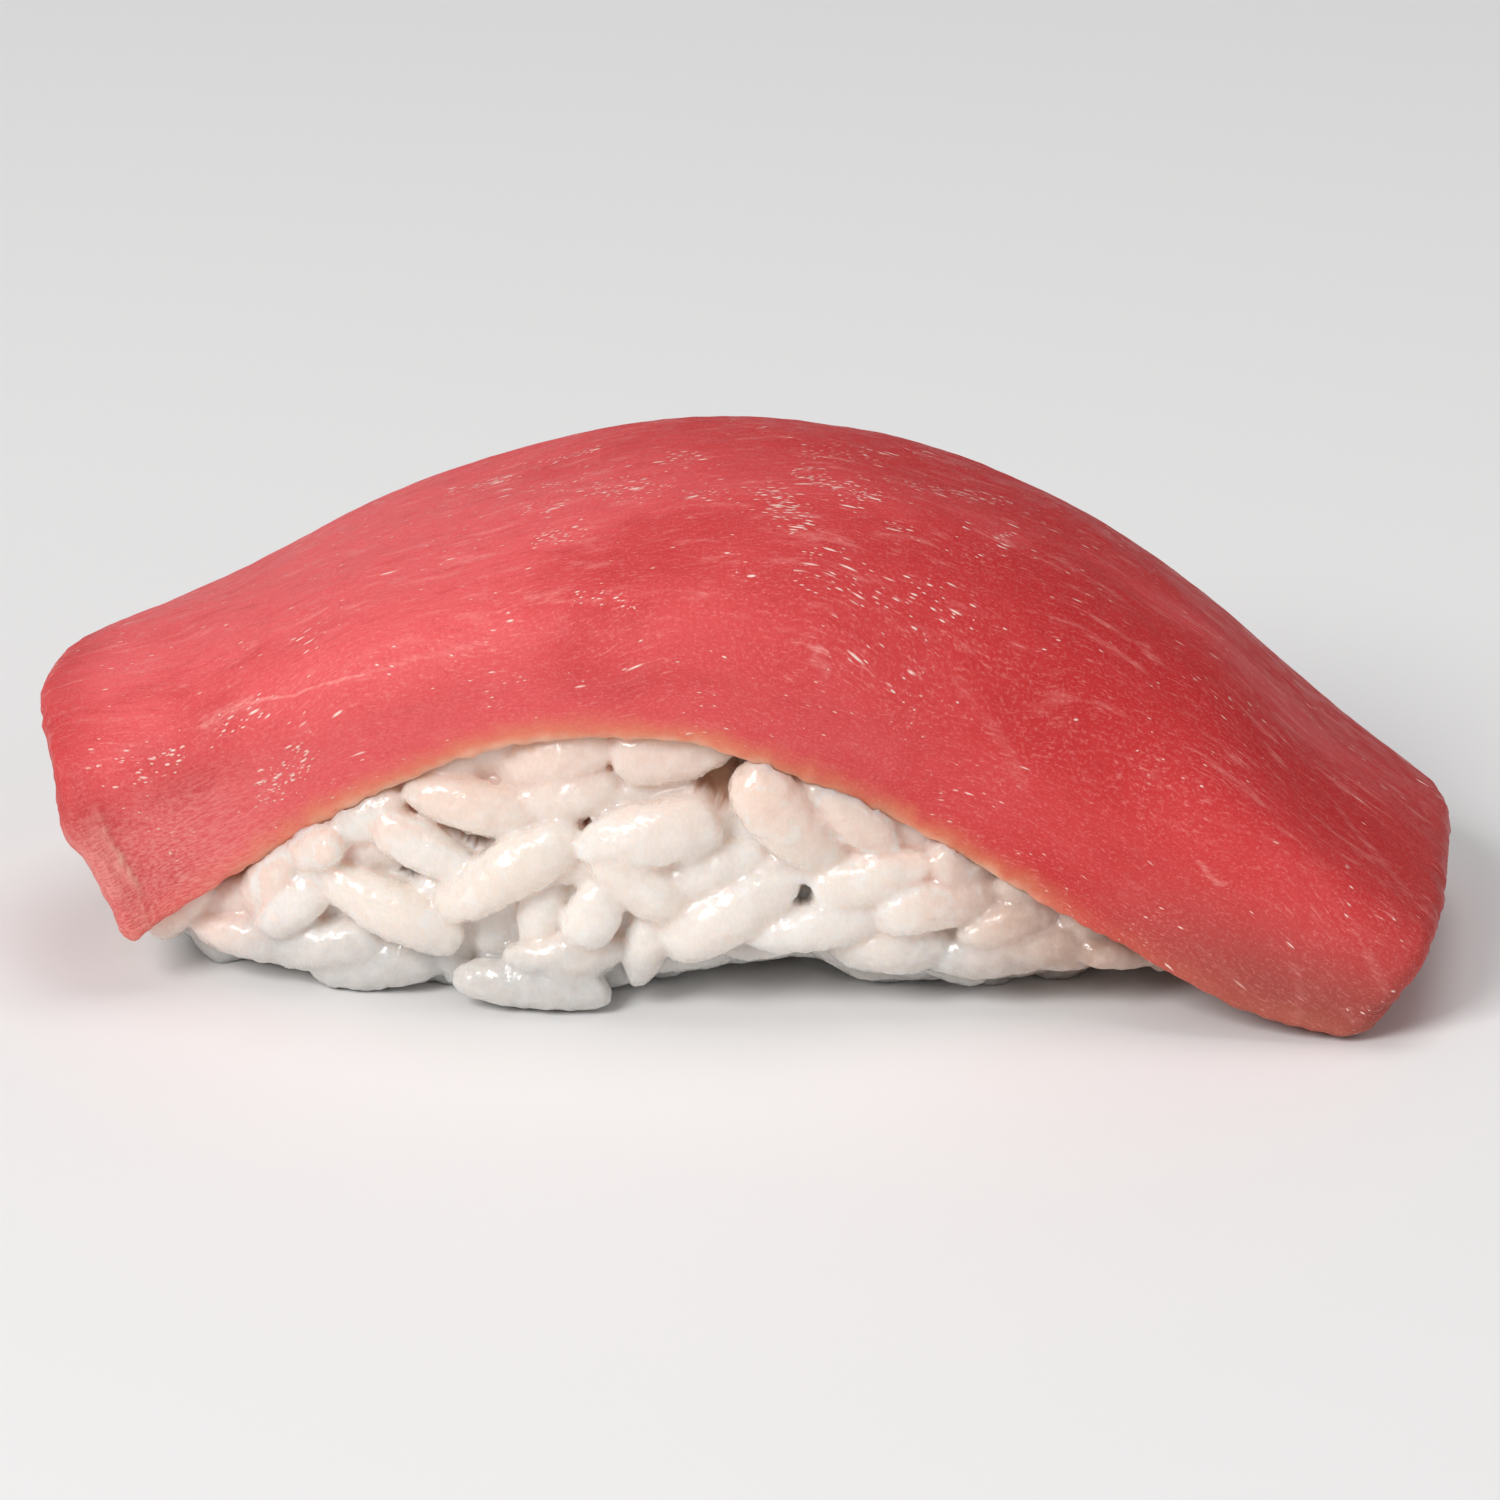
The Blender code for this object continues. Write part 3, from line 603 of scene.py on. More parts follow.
# x, reach to the front, reach to the back, lift in front, lift at the back
RICE_STATIONS = np.array((
    (-35.3, 1.5, 4.5, 1.6, 1.6),
    (-33.5, 5.0, 7.6, 1.2, 1.3),
    (-30.0, 8.0, 9.8, 0.8, 0.9),
    (-24.0, 10.1, 11.4, 0.4, 0.6),
    (-18.0, 11.5, 12.4, 0.0, 0.4),
    (-9.0, 12.6, 12.9, 0.0, 0.3),
    (-3.0, 12.8, 13.0, 0.9, 0.4),
    (3.0, 12.7, 12.9, 1.7, 0.6),
    (12.0, 11.8, 12.5, 1.8, 1.0),
    (18.0, 11.1, 11.8, 1.9, 1.2),
    (23.0, 9.4, 9.8, 1.6, 1.3),
    (26.0, 4.0, 4.5, 1.2, 1.2),
)) * MM
# x, height of the rice's lowest front edge over the plate
FRONT_LIFT = np.array((
    (-35.0, 2.2), (-30.4, 1.8), (-27.2, 1.7), (-25.0, 1.3), (-23.0, 1.0), (-21.8, 0.1), (-18.6, 0.0),
    (-17.2, 0.6), (-15.6, 1.2), (-14.6, 0.1), (-6.6, 0.0), (-5.6, 1.6), (-4.6, 2.1), (-1.9, 2.7),
    (1.3, 3.1), (3.9, 3.7), (4.9, 2.8), (6.2, 2.0), (7.6, 1.4), (11.5, 1.3), (14.0, 1.6),
    (16.8, 2.1), (18.6, 2.8), (21.6, 2.1), (27.0, 2.0),
)) * MM
SIGHT_SLOPE = 0.42
RICE_FIRST = RICE_STATIONS[0, 0]
RICE_LAST = RICE_STATIONS[-1, 0]
tuna_tree = BVHTree.FromPolygons([Vector(p) for p in draped], slice_faces)


def underside(x, y):
    """Height of the slice's underside above a point, or None where nothing hangs over it."""
    hit = tuna_tree.ray_cast(Vector((x, y, -5 * MM)), Vector((0, 0, 1)))
    return None if hit[0] is None else hit[0].z


def roof_over(x, y):
    """Height of the slice's underside above a point, or above the nearest covered one behind it."""
    for share in (1.0, 0.94, 0.88, 0.82, 0.76):
        roof = underside(x, share * y)
        if roof is not None:
            return roof
    return None


def clearance(x, y):
    """Least height of the rice over the plate at a place: a step up along the front, none behind."""
    if y > 0:
        return 0.0
    front = section(RICE_STATIONS, min(max(x, RICE_FIRST), RICE_LAST))[0]
    lift = float(np.interp(x, FRONT_LIFT[:, 0], FRONT_LIFT[:, 1]))
    return max(0.0, lift - SIGHT_SLOPE * (y + 0.9 * front))


def core_ring(x):
    """Section of the core at x: under the slice at the top, flat below, round at both sides."""
    front, back, lift_front, lift_back = section(RICE_STATIONS, x)
    ring = []
    for k in range(CORE_SIDES):
        angle = 2 * math.pi * k / CORE_SIDES
        c = math.cos(angle)
        s = math.sin(angle)
        reach = max((front if c < 0 else back) - CORE_INSET, 0.6 * MM)
        y = math.copysign(abs(c) ** 0.7, c) * reach
        roof = underside(x, y) or underside(x, 0.8 * y) or 6 * MM
        low = max((lift_front if c < 0 else lift_back), 0.0) * max(0.0, 2 * abs(y) / reach - 1) ** 2
        low = max(low, clearance(x, y)) + CORE_END_LIFT * max(0.0, -28 * MM - x, x - 17 * MM) / (6 * MM)
        high = max(roof - CONTACT, low + 1.0 * MM)
        share = (1 + math.copysign(abs(s) ** 0.6, s)) / 2
        share = max(0.0, share - FLAT_SHARE) / (1 - FLAT_SHARE)
        ring.append((x, y, low + share * (high - low)))
    return ring


def build_core():
    """The core as a loft of its sections."""
    points = []
    for x in np.linspace(RICE_FIRST + 2.2 * CORE_INSET, RICE_LAST - CORE_INSET, CORE_STATIONS):
        points.extend(core_ring(float(x)))
    faces = []
    for row in range(CORE_STATIONS - 1):
        for k in range(CORE_SIDES):
            n = (k + 1) % CORE_SIDES
            a = row * CORE_SIDES
            b = a + CORE_SIDES
            faces.append((a + k, b + k, b + n, a + n))
    faces.append(tuple(range(CORE_SIDES)))
    faces.append(tuple(range(len(points) - CORE_SIDES, len(points)))[::-1])
    core = new_piece("rice_core", points, faces)
    outward(core.data)
    return core


core = build_core()

# The rice grains
# Some hundreds of cooked short grains, plump, blunt and slightly bent, about 7.4 by 3.4 mm, stuck
# together by their own starch. Those in front lie as shown, the others fill the ball by rows.
GRAIN_LENGTH = 7.4 * MM
GRAIN_WIDTH = 3.4 * MM
GRAIN_THICKNESS = 3.0 * MM
GRAIN_SUNK = 0.45
GRAIN_KINDS = 14
LOW_GRAIN = 4.5 * MM
ROW_STEP = 2.6 * MM
ROWS = 7
SEED = 14

# The small gaps that show between the front grains: x, height, half width, half height, depth (mm)
FRONT_GAPS = (
    (-13.3, 9.6, 1.22, 0.80, 2.2),
    (-7.7, 10.3, 1.64, 0.52, 0.6),
    (-21.7, 8.9, 0.66, 0.87, 1.4),
    (-17.1, 7.1, 0.59, 0.41, 1.2),
    (-23.2, 4.7, 0.94, 0.49, 1.2),
    (-18.1, 4.6, 1.22, 0.69, 1.7),
    (-8.5, 7.8, 0.52, 0.66, 1.2),
    (-16.6, 12, 0.80, 0.32, 1.0),
    (-0.5, 13.0, 1.25, 1.60, 2.0),
    (3.9, 14.0, 0.50, 0.50, 1.0),
    (8.4, 11.6, 1.22, 0.80, 1.9),
    (3.3, 6.7, 1.10, 0.70, 0.9),
    (8.1, 5.8, 0.73, 0.87, 1.7),
    (6.3, 6.6, 0.45, 0.45, 1.1),
)
# The grains that show best in front: x, height of the middle, slope (degrees), length, width, sunk (mm)
FRONT_GRAINS = (
    (-30.0, 2.1, 48, 4.8, 2.6, -0.5),
    (-25.1, 6, 50, 5.4, 2.7, 0),
    (-23.3, 5, 42, 5.2, 2.7, -0.2),
    (-25.9, 2.4, -5, 6.6, 2.9, 0),
    (-21.9, 2.5, 8, 7.6, 2.9, -0.1),
    (-18.8, 1.4, 10, 7.6, 3.3, -0.2),
    (-18, 5.2, -22, 7.7, 3.4, -0.4),
    (-19, 8.4, 20, 6.4, 2.9, 1.2),
    (-16.3, 8.8, -25, 6.6, 2.9, 0),
    (-13.7, 11.2, -12, 7.2, 3.1, 0.1),
    (-11.7, 7.8, 32, 8.6, 3.4, -0.3),
    (-14.9, 2.8, 85, 4.6, 2.4, 1.1),
    (-12.9, 3.4, 88, 4.6, 2.4, 1.3),
    (-10.1, 5.3, 80, 4.2, 2.6, 0.6),
    (-10.1, 1.4, -2, 9, 2.8, -1.3),
    (-8.8, 3.2, 0, 6.2, 2.9, -0.3),
    (-6.9, 6, 60, 4.4, 3.1, -0.4),
    (-9.4, 13.9, 20, 6.2, 3.3, 0.2),
    (-8.6, 11.9, 15, 6.2, 2.9, 0.8),
    (-8, 8.3, 10, 5, 2.8, 0.9),
    (-4.3, 7.2, -35, 7.2, 3.2, -0.1),
    (-3.8, 10.3, 12, 7.9, 3.7, -0.3),
    (-3.3, 14.3, 5, 6.8, 3.6, 0.2),
    (-1.4, 7.8, 20, 6.8, 3, 0.6),
    (-4.3, 3.8, 70, 5.2, 2.8, 0.2),
    (-2.9, 1.6, 2, 7.6, 2.6, 1),
    (0.1, 5.7, 28, 7.8, 3.5, -0.2),
    (3.5, 10.9, -50, 8.0, 3.7, -0.2),
    (5.9, 11.6, -40, 6.6, 2.9, 0.4),
    (4.7, 5, 10, 7.6, 2.7, -0.1),
    (2.5, 2.6, 12, 5.6, 2.4, 1.2),
    (7.6, 7.7, 15, 6.6, 3, 0),
    (8.2, 9.9, -30, 6.4, 2.8, 0.9),
    (8.5, 3.5, 0, 6.5, 2.9, 0),
    (11, 6.3, 10, 6.6, 3.3, 0),
    (11, 9.3, -35, 6.2, 2.8, 0.5),
    (13.5, 7.5, -35, 5.6, 2.8, 0.4),
    (13, 3.1, 5, 6.6, 2.8, 0),
    (14.6, 5, 12, 5.4, 2.9, 0.1),
    (16.2, 3.4, -8, 6.8, 2.7, 0.1),
    (22, 2.9, -8, 6.4, 2, 0.2),
    (-27.6, 4.2, 30, 5.6, 2.9, 0.9),
    (-24, 7.9, 25, 6, 2.9, 0.7),
    (-20.3, 9.9, 28, 6.4, 2.9, 0.5),
    (-16.8, 12.2, 24, 6.6, 3, 0.4),
    (-13.4, 14.2, 14, 6.2, 3, 0.4),
    (-6.4, 15.9, 4, 6.4, 2.9, 0.5),
    (1.0, 14.8, -8, 6.2, 2.8, 0.7),
    (5.2, 13.9, -25, 5.8, 2.9, 0.5),
    (9, 11.9, -30, 6.4, 3, 0.5),
    (13.6, 9.2, -30, 6, 2.9, 0.6),
    (17.4, 5.7, -32, 6, 2.8, 0.4),
    (20, 4, -25, 6, 2.6, 0.5),
)


def grain_shape(kind, dice):
    """One cooked grain of unit half-sizes: bent, blunt, creased, with a germ notch or a broken tip."""
    bm = bmesh.new()
    bmesh.ops.create_uvsphere(bm, u_segments=8, v_segments=7, radius=1.10)
    taper = dice.uniform(-0.22, 0.22)
    bend = dice.uniform(0.0, 0.30)
    crease = dice.uniform(0.0, 0.16)
    notch = dice.choice((0.0, 0.25, 0.35))
    blunt = dice.uniform(0.0, 0.32)
    square = dice.uniform(0.82, 1.0)
    lumps = Vector((dice.uniform(0, 50), dice.uniform(0, 50), dice.uniform(0, 50)))
    break_angle = dice.uniform(-0.9, 0.9)
    break_side = Vector((dice.choice((-1, 1)) * math.cos(break_angle), math.sin(break_angle), 0))
    break_at = dice.choice((0.72, 0.80, 2.0, 2.0, 2.0))
    for v in bm.verts:
        along = v.co.z
        swell = (1 + blunt * along * along) * (1 + taper * along)
        across = math.copysign(abs(v.co.x) ** square, v.co.x) * swell
        out = math.copysign(abs(v.co.y) ** square, v.co.y) * swell
        if out > 0:
            out -= crease * math.exp(-(across / 0.3) ** 2) * (1 - along * along) * out
        out -= notch * math.exp(-((along - 0.80) / 0.25) ** 2) * max(out, 0.0)
        out += bend * (0.5 - along * along)
        point = Vector((along, across, out))
        point = point * (1 + 0.13 * noise.noise(point * 1.3 + lumps))
        beyond = point.dot(break_side) - break_at
        if beyond > 0:
            point -= break_side * (beyond * 0.7)
        v.co = point
    mesh = bpy.data.meshes.new("grain_kind_%d" % kind)
    bm.to_mesh(mesh)
    bm.free()
    return bpy.data.objects.new(mesh.name, mesh)


def wall(x, side, height):
    """Outer surface of the rice at x and a height, on the front (-1) or the back (+1)."""
    front, back, lift_front, lift_back = section(RICE_STATIONS, x)
    reach = front if side < 0 else back
    lift = lift_front if side < 0 else lift_back
    roof = roof_over(x, side * reach) or 8 * MM
    half = max((roof - lift) / 2, 1.2 * MM)
    t = min(abs(height - (roof + lift) / 2) / half, 1.0)
    return reach * (1 - WALL_TUCK * t ** 3)


class Heap:
    """The grains laid so far, each with its middle, its turn, its size, its kind and its tone."""

    def __init__(self, dice):
        self.dice = dice
        self.rows = []

    def clear_of(self, centre, spacing):
        return all((centre - row[0]).length > spacing for row in self.rows)

    def lay(self, centre, along, out, size):
        """Add a grain, lowered until it clears the slice; skipped where there is no room for it."""
        along = along.normalized()
        across = out.cross(along).normalized()
        out = along.cross(across).normalized()
        turn = Matrix((along, across, out)).transposed()
        length, width, thickness = size
        steps = (-0.42, -0.2, 0.0, 0.2, 0.42)
        spreads = [math.sqrt(1 - (2 * t) ** 2) * (abs(across.z) * width + abs(out.z) * thickness) / 2 for t in steps]
        rise = 0.0
        for t, spread in zip(steps, spreads):
            middle = centre + along * (t * length)
            rise = max(rise, clearance(middle.x, middle.y) - (middle.z - spread) - 0.1 * MM)
        if centre.z < LOW_GRAIN and out.y < 0.5:
            centre = centre + Vector((0, 0, min(rise, 3.0 * MM)))
        push = 0.0
        lowest = 1.0
        for t, spread in zip(steps, spreads):
            middle = centre + along * (t * length)
            roof = roof_over(middle.x, middle.y)
            if roof is not None:
                push = max(push, middle.z + spread * 0.92 - roof)
            lowest = min(lowest, middle.z - spread - clearance(middle.x, middle.y))
        if push > 2.4 * MM or lowest - push < -1.4 * MM:
            return False
        centre = centre - Vector((0, 0, push))
        tone = self.dice.random()
        kind = self.dice.randrange(GRAIN_KINDS)
        self.rows.append((centre, turn.to_euler(), (length, width, thickness), kind, tone))
        return True

    def lay_on_wall(self, x, side, height, slope, size, turn, depth):
        """A grain on the rice wall, its axis sloped within the wall and turned out of it."""
        step = 0.8 * MM
        dy = (wall(x + step, side, height) - wall(x - step, side, height)) / (2 * step)
        dy = max(min(dy, 1.6), -1.6)
        tangent = Vector((1.0, side * dy, 0.0)).normalized()
        out = Vector((-dy, side, 0.0)).normalized()
        along = tangent * math.cos(slope) + Vector((0, 0, 1)) * math.sin(slope) + out * math.sin(turn)
        centre = Vector((x, side * wall(x, side, height), height)) - out * (size[2] * GRAIN_SUNK + depth)
        return centre, along, out


def fill_heap():
    """Grains as shown in front, rows round the ball from the widest gaps down, both ends and the underside."""
    dice = random.Random(SEED)
    heap = Heap(dice)
    for x, height, slope, length, width, sunk in FRONT_GRAINS:
        size = (length * MM, width * MM, GRAIN_THICKNESS * (0.5 + 0.5 * width * MM / GRAIN_WIDTH))
        turn = math.radians(dice.uniform(-8, 8))
        centre, along, out = heap.lay_on_wall(x * MM, -1, height * MM, math.radians(slope), size, turn, sunk * MM)
        heap.lay(centre, along, out, size)
    shown_grains = len(heap.rows)

    def any_size():
        return (GRAIN_LENGTH * dice.uniform(0.78, 1.08), GRAIN_WIDTH * dice.uniform(0.88, 1.06),
                GRAIN_THICKNESS * dice.uniform(0.9, 1.06))

    for spacing, depth in ((4.2, 0.0), (3.4, 0.4), (2.8, 1.1), (2.3, 1.9)):
        for row in range(ROWS):
            for side in (-1, 1):
                x = RICE_FIRST + (dice.uniform(2.2, 3.6) + max(0, 2 - row)) * MM
                while x < RICE_LAST - 1.0 * MM:
                    height = row * ROW_STEP + dice.uniform(0.9, 2.2) * MM
                    reach = wall(x, side, height)
                    roof = roof_over(x, side * reach)
                    if roof is not None and height < roof - 0.5 * MM:
                        slope = math.radians(dice.gauss(0, 30))
                        turn = math.radians(dice.gauss(0, 16))
                        size = any_size()
                        centre, along, out = heap.lay_on_wall(x, side, height, slope, size, turn, depth * MM)
                        if heap.clear_of(centre, spacing * MM):
                            heap.lay(centre, along, out, size)
                    x += dice.uniform(1.2, 2.0) * MM
    for end, x_end in ((-1, RICE_FIRST + 2.0 * MM), (1, RICE_LAST)):
        for k in range(18):
            y = (-8.0 + 16.0 * (k % 6) / 5) * MM
            height = (1.5 + 1.7 * (k // 6)) * MM
            inward = 1.5 + 0.045 * (y / MM) ** 2 + 0.5 * max(0.0, 4.5 - height / MM)
            centre = Vector((x_end - end * inward * MM, y, height))
            slope = math.radians(dice.gauss(0, 25))
            along = Vector((0.3 * dice.uniform(-1, 1), math.cos(slope), math.sin(slope)))
            if heap.clear_of(centre, 2.9 * MM):
                heap.lay(centre, along, Vector((end, 0, 0)), any_size())
    for k in range(420):
        x = dice.uniform(RICE_FIRST + 3 * MM, RICE_LAST - 3 * MM)
        front, back = section(RICE_STATIONS, x)[:2]
        heading = dice.uniform(0, math.pi)
        margin = 2.0 * MM + 0.3 * GRAIN_LENGTH * math.sin(heading)
        y = dice.uniform(-front + margin, back - margin)
        centre = Vector((x, y, dice.uniform(0.9, 1.3) * MM + clearance(x, y - margin)))
        along = Vector((math.cos(heading), math.sin(heading), dice.uniform(-0.08, 0.08)))
        if heap.clear_of(centre, 3.1 * MM):
            heap.lay(centre, along, Vector((0, 0, -1)), any_size())
    return heap.rows, shown_grains


def grain_tree():
    """Geometry nodes: grain shapes set on points by their turn, size and kind, then made real."""
    tree = bpy.data.node_groups.new("Rice heap", "GeometryNodeTree")
    tree.interface.new_socket("Points", in_out="INPUT", socket_type="NodeSocketGeometry")
    tree.interface.new_socket("Grain shapes", in_out="INPUT", socket_type="NodeSocketCollection")
    tree.interface.new_socket("Plumpness", in_out="INPUT", socket_type="NodeSocketFloat")
    tree.interface.new_socket("Material", in_out="INPUT", socket_type="NodeSocketMaterial")
    tree.interface.new_socket("Grains", in_out="OUTPUT", socket_type="NodeSocketGeometry")
    n = Nodes(tree)
    start = tree.nodes.new("NodeGroupInput").outputs
    shapes = n.add("GeometryNodeCollectionInfo", Collection=start["Grain shapes"], Separate_Children=True,
                   Reset_Children=True)
    turn = n.add("GeometryNodeInputNamedAttribute", {"data_type": "FLOAT_VECTOR"}, Name="turn")
    size = n.add("GeometryNodeInputNamedAttribute", {"data_type": "FLOAT_VECTOR"}, Name="half_size")
    kind = n.add("GeometryNodeInputNamedAttribute", {"data_type": "INT"}, Name="kind")
    plump = n.add("ShaderNodeVectorMath", {"operation": "SCALE"}, Scale=start["Plumpness"])
    n.feed(plump.inputs[0], size.outputs["Attribute"])
    rotation = n.add("FunctionNodeEulerToRotation", Euler=turn.outputs["Attribute"])
    grains = n.add("GeometryNodeInstanceOnPoints", Points=start["Points"], Instance=shapes.outputs[0],
                   Pick_Instance=True, Instance_Index=kind.outputs["Attribute"],
                   Rotation=rotation.outputs[0], Scale=plump.outputs[0])
    real = n.add("GeometryNodeRealizeInstances", Geometry=grains.outputs[0])
    done = n.add("GeometryNodeSetMaterial", Geometry=real.outputs[0], Material=start["Material"])
    n.feed(tree.nodes.new("NodeGroupOutput").inputs["Grains"], done.outputs[0])
    return tree


RICE_WHITE = (0.86, 0.79, 0.735, 1)
RICE_CREAM = (0.86, 0.765, 0.69, 1)
# Clear grey of the lower grains, partly painted shade
RICE_CLEAR_AND_SHADE = (0.62, 0.60, 0.575, 1)
RICE_MILK = (0.92, 0.88, 0.84, 1)
# Painted shade and reddish light from the slice above
RICE_FISH_SHADE_AND_GLOW = (0.88, 0.64, 0.54, 1)
# Painted shade in the gaps between grains: warm tan up high, dull grey low down
RICE_GAP_SHADE = (0.62, 0.34, 0.20, 1)
RICE_LOW_GAP_SHADE = (0.40, 0.36, 0.31, 1)
# Painted shade for the right end of the rice
RICE_END_SHADE = (0.43, 0.30, 0.235, 1)


def rice_material():
    """Cooked rice: milky to clear white, wet and scratched, with painted shade in the gaps, at the right end and
    partly on the lower grains, and painted shade and reddish light under the fish.
    """
    mat = bpy.data.materials.new("cooked rice")
    mat.use_nodes = True
    n = Nodes(mat.node_tree)
    shader = mat.node_tree.nodes["Principled BSDF"]
    tone = n.add("ShaderNodeAttribute", {"attribute_name": "tone"}).outputs["Fac"]
    gap = n.add("ShaderNodeAttribute", {"attribute_name": "gap"}).outputs["Fac"]
    near_fish = n.add("ShaderNodeAttribute", {"attribute_name": "near_fish"}).outputs["Fac"]
    place = n.stretch(n.add("ShaderNodeTexCoord").outputs["Object"], (1000.0, 1000.0, 1000.0))
    axes = n.add("ShaderNodeSeparateXYZ", Vector=place).outputs
    height = axes[2]
    cloud = n.noise(place, 0.45, 4.0, 0.6)
    colour = n.mix(n.span(tone, 0.1, 0.9), RICE_CREAM, RICE_WHITE)
    colour = n.mix(n.span(cloud, 0.50, 0.70, 0.0, 0.7), colour, RICE_MILK)
    # Lower grains: partly clearer and greyer of their own, partly painted shade where they face down, away from the
    # light.
    clear = n.math("ADD", n.span(height, 6.5, 0.5), n.math("MULTIPLY", n.math("SUBTRACT", cloud, 0.5), 1.2))
    colour = n.mix(n.span(clear, 0.05, 0.95, 0.0, 0.90), colour, RICE_CLEAR_AND_SHADE)
    # Painted shade: the rice at the right end, where the light falls off, painted darker in patches.
    end_shade = n.math("MULTIPLY", n.span(axes[0], 9.0, 19.0), n.span(cloud, 0.66, 0.40, 0.55, 0.90))
    # Painted shade and reddish light under the slice: rice close to the fish painted warmer and darker.
    colour = n.mix(n.span(near_fish, 0.1, 1.0, 0.0, 0.80), colour, RICE_FISH_SHADE_AND_GLOW)
    colour = n.mix(end_shade, colour, RICE_END_SHADE)
    # Painted shade in the gaps between grains: warm tan up high, dull grey low down.
    gap_shade_colour = n.mix(n.span(height, 6.5, 8.5), RICE_LOW_GAP_SHADE, RICE_GAP_SHADE)
    colour = n.mix(n.math("MULTIPLY", gap, 0.85), colour, gap_shade_colour)
    wet = n.add("ShaderNodeGroup", {"node_tree": moist}, Vector=place, Streaks=0.35, Pits=1.0)
    bump = n.add("ShaderNodeBump", Strength=0.30, Distance=0.00014, Height=wet.outputs["Height"])
    rough = n.span(wet.outputs["Dull"], 0.0, 1.0, 0.12, 0.26)
    beads = n.span(n.noise(n.stretch(place, (4.6, 4.6, 1.9)), 1.0, 3.0, 0.7), 0.47, 0.54)
    n.feed(shader.inputs["Base Color"], colour)
    n.feed(shader.inputs["Roughness"], rough)
    n.feed(shader.inputs["Normal"], bump.outputs["Normal"])
    n.feed(shader.inputs["Coat Weight"], beads)
    shader.inputs["Coat Roughness"].default_value = 0.05
    shader.inputs["Subsurface Weight"].default_value = 0.85
    shader.inputs["Subsurface Radius"].default_value = (1.0, 0.78, 0.62)
    shader.inputs["Subsurface Scale"].default_value = 2.2 * MM
    shader.inputs["IOR"].default_value = 1.42
    return mat


rice_finish = rice_material()
shape_dice = random.Random(SEED)
shape_holder = bpy.data.collections.new("grain shapes")
for kind in range(GRAIN_KINDS):
    shape_holder.objects.link(grain_shape(kind, shape_dice))
heap_rows, shown_grains = fill_heap()
seeds = new_piece("rice_grains", [row[0] for row in heap_rows], [])
add_attribute(seeds.data, "turn", "FLOAT_VECTOR", [tuple(row[1]) for row in heap_rows])
add_attribute(seeds.data, "half_size", "FLOAT_VECTOR", [[s / 2 for s in row[2]] for row in heap_rows])
kinds = seeds.data.attributes.new("kind", "INT", "POINT")
kinds.data.foreach_set("value", [row[3] for row in heap_rows])
lay = seeds.modifiers.new("lay grains", "NODES")
lay.node_group = grain_tree()
inputs = {item.name: item.identifier for item in lay.node_group.interface.items_tree if item.in_out == "INPUT"}
lay[inputs["Grain shapes"]] = shape_holder
lay[inputs["Plumpness"]] = 1.0
lay[inputs["Material"]] = rice_finish
graph = bpy.context.evaluated_depsgraph_get()
grain_mesh = bpy.data.meshes.new_from_object(seeds.evaluated_get(graph))
seeds.modifiers.clear()

# The rice ball
# The grains and the built inside stick into one ball: starch rounds the seams between them, the
# slice presses the upper ones flat and the plate the lowest ones.
VOXEL = 0.17 * MM
RICE_FACES = 192000
FLOOR_GAP = 0.02 * MM

rice = bpy.data.objects.new("rice_ball", grain_mesh)
bpy.context.scene.collection.objects.link(rice)
joined = bmesh.new()
joined.from_mesh(grain_mesh)
joined.from_mesh(core.data)
joined.to_mesh(grain_mesh)
joined.free()
for spare in (seeds, core):
    bpy.data.objects.remove(spare, do_unlink=True)
for shape in list(shape_holder.objects):
    bpy.data.objects.remove(shape, do_unlink=True)
bpy.data.collections.remove(shape_holder)


def finish_modifiers(piece):
    """Replace a piece's mesh by its evaluated one, and take its modifiers off."""
    graph = bpy.context.evaluated_depsgraph_get()
    mesh = bpy.data.meshes.new_from_object(piece.evaluated_get(graph))
    piece.modifiers.clear()
    piece.data = mesh


plump = rice.modifiers.new("plump", "SUBSURF")
plump.levels = 2
plump.render_levels = 2
fuse = rice.modifiers.new("fuse", "REMESH")
fuse.mode = "VOXEL"
fuse.voxel_size = VOXEL
fuse.adaptivity = 0.0
soften = rice.modifiers.new("soften", "SMOOTH")
soften.factor = 0.5
soften.iterations = 3
finish_modifiers(rice)
for name, scale, strength in (("dents", 0.9 * MM, 0.20 * MM), ("scratches", 0.45 * MM, 0.06 * MM)):
    dents = bpy.data.textures.new(name, "CLOUDS")
    dents.noise_scale = scale
    dents.noise_depth = 1
    dent = rice.modifiers.new(name, "DISPLACE")
    dent.texture = dents
    dent.texture_coords = "LOCAL"
    dent.strength = strength
thin = rice.modifiers.new("thin", "DECIMATE")
thin.ratio = min(1.0, RICE_FACES / (2 * len(rice.data.polygons)))
finish_modifiers(rice)

rice_points = np.empty(len(rice.data.vertices) * 3)
rice.data.vertices.foreach_get("co", rice_points)
rice_points = rice_points.reshape(-1, 3)
nearest = np.full(len(rice_points), 9.0)
tones = np.zeros(len(rice_points))
on_shown = np.zeros(len(rice_points), dtype=bool)
for place, (centre, turn, size, kind, tone) in enumerate(heap_rows):
    offset = rice_points - np.array(centre)
    inside = np.nonzero((np.abs(offset) < size[0]).all(axis=1))[0]
    local = offset[inside] @ np.array(turn.to_matrix()) / (np.array(size) / 2)
    distance = np.linalg.norm(local, axis=1)
    closer = distance < nearest[inside]
    nearest[inside[closer]] = distance[closer]
    tones[inside[closer]] = tone
    on_shown[inside[closer]] = place < shown_grains
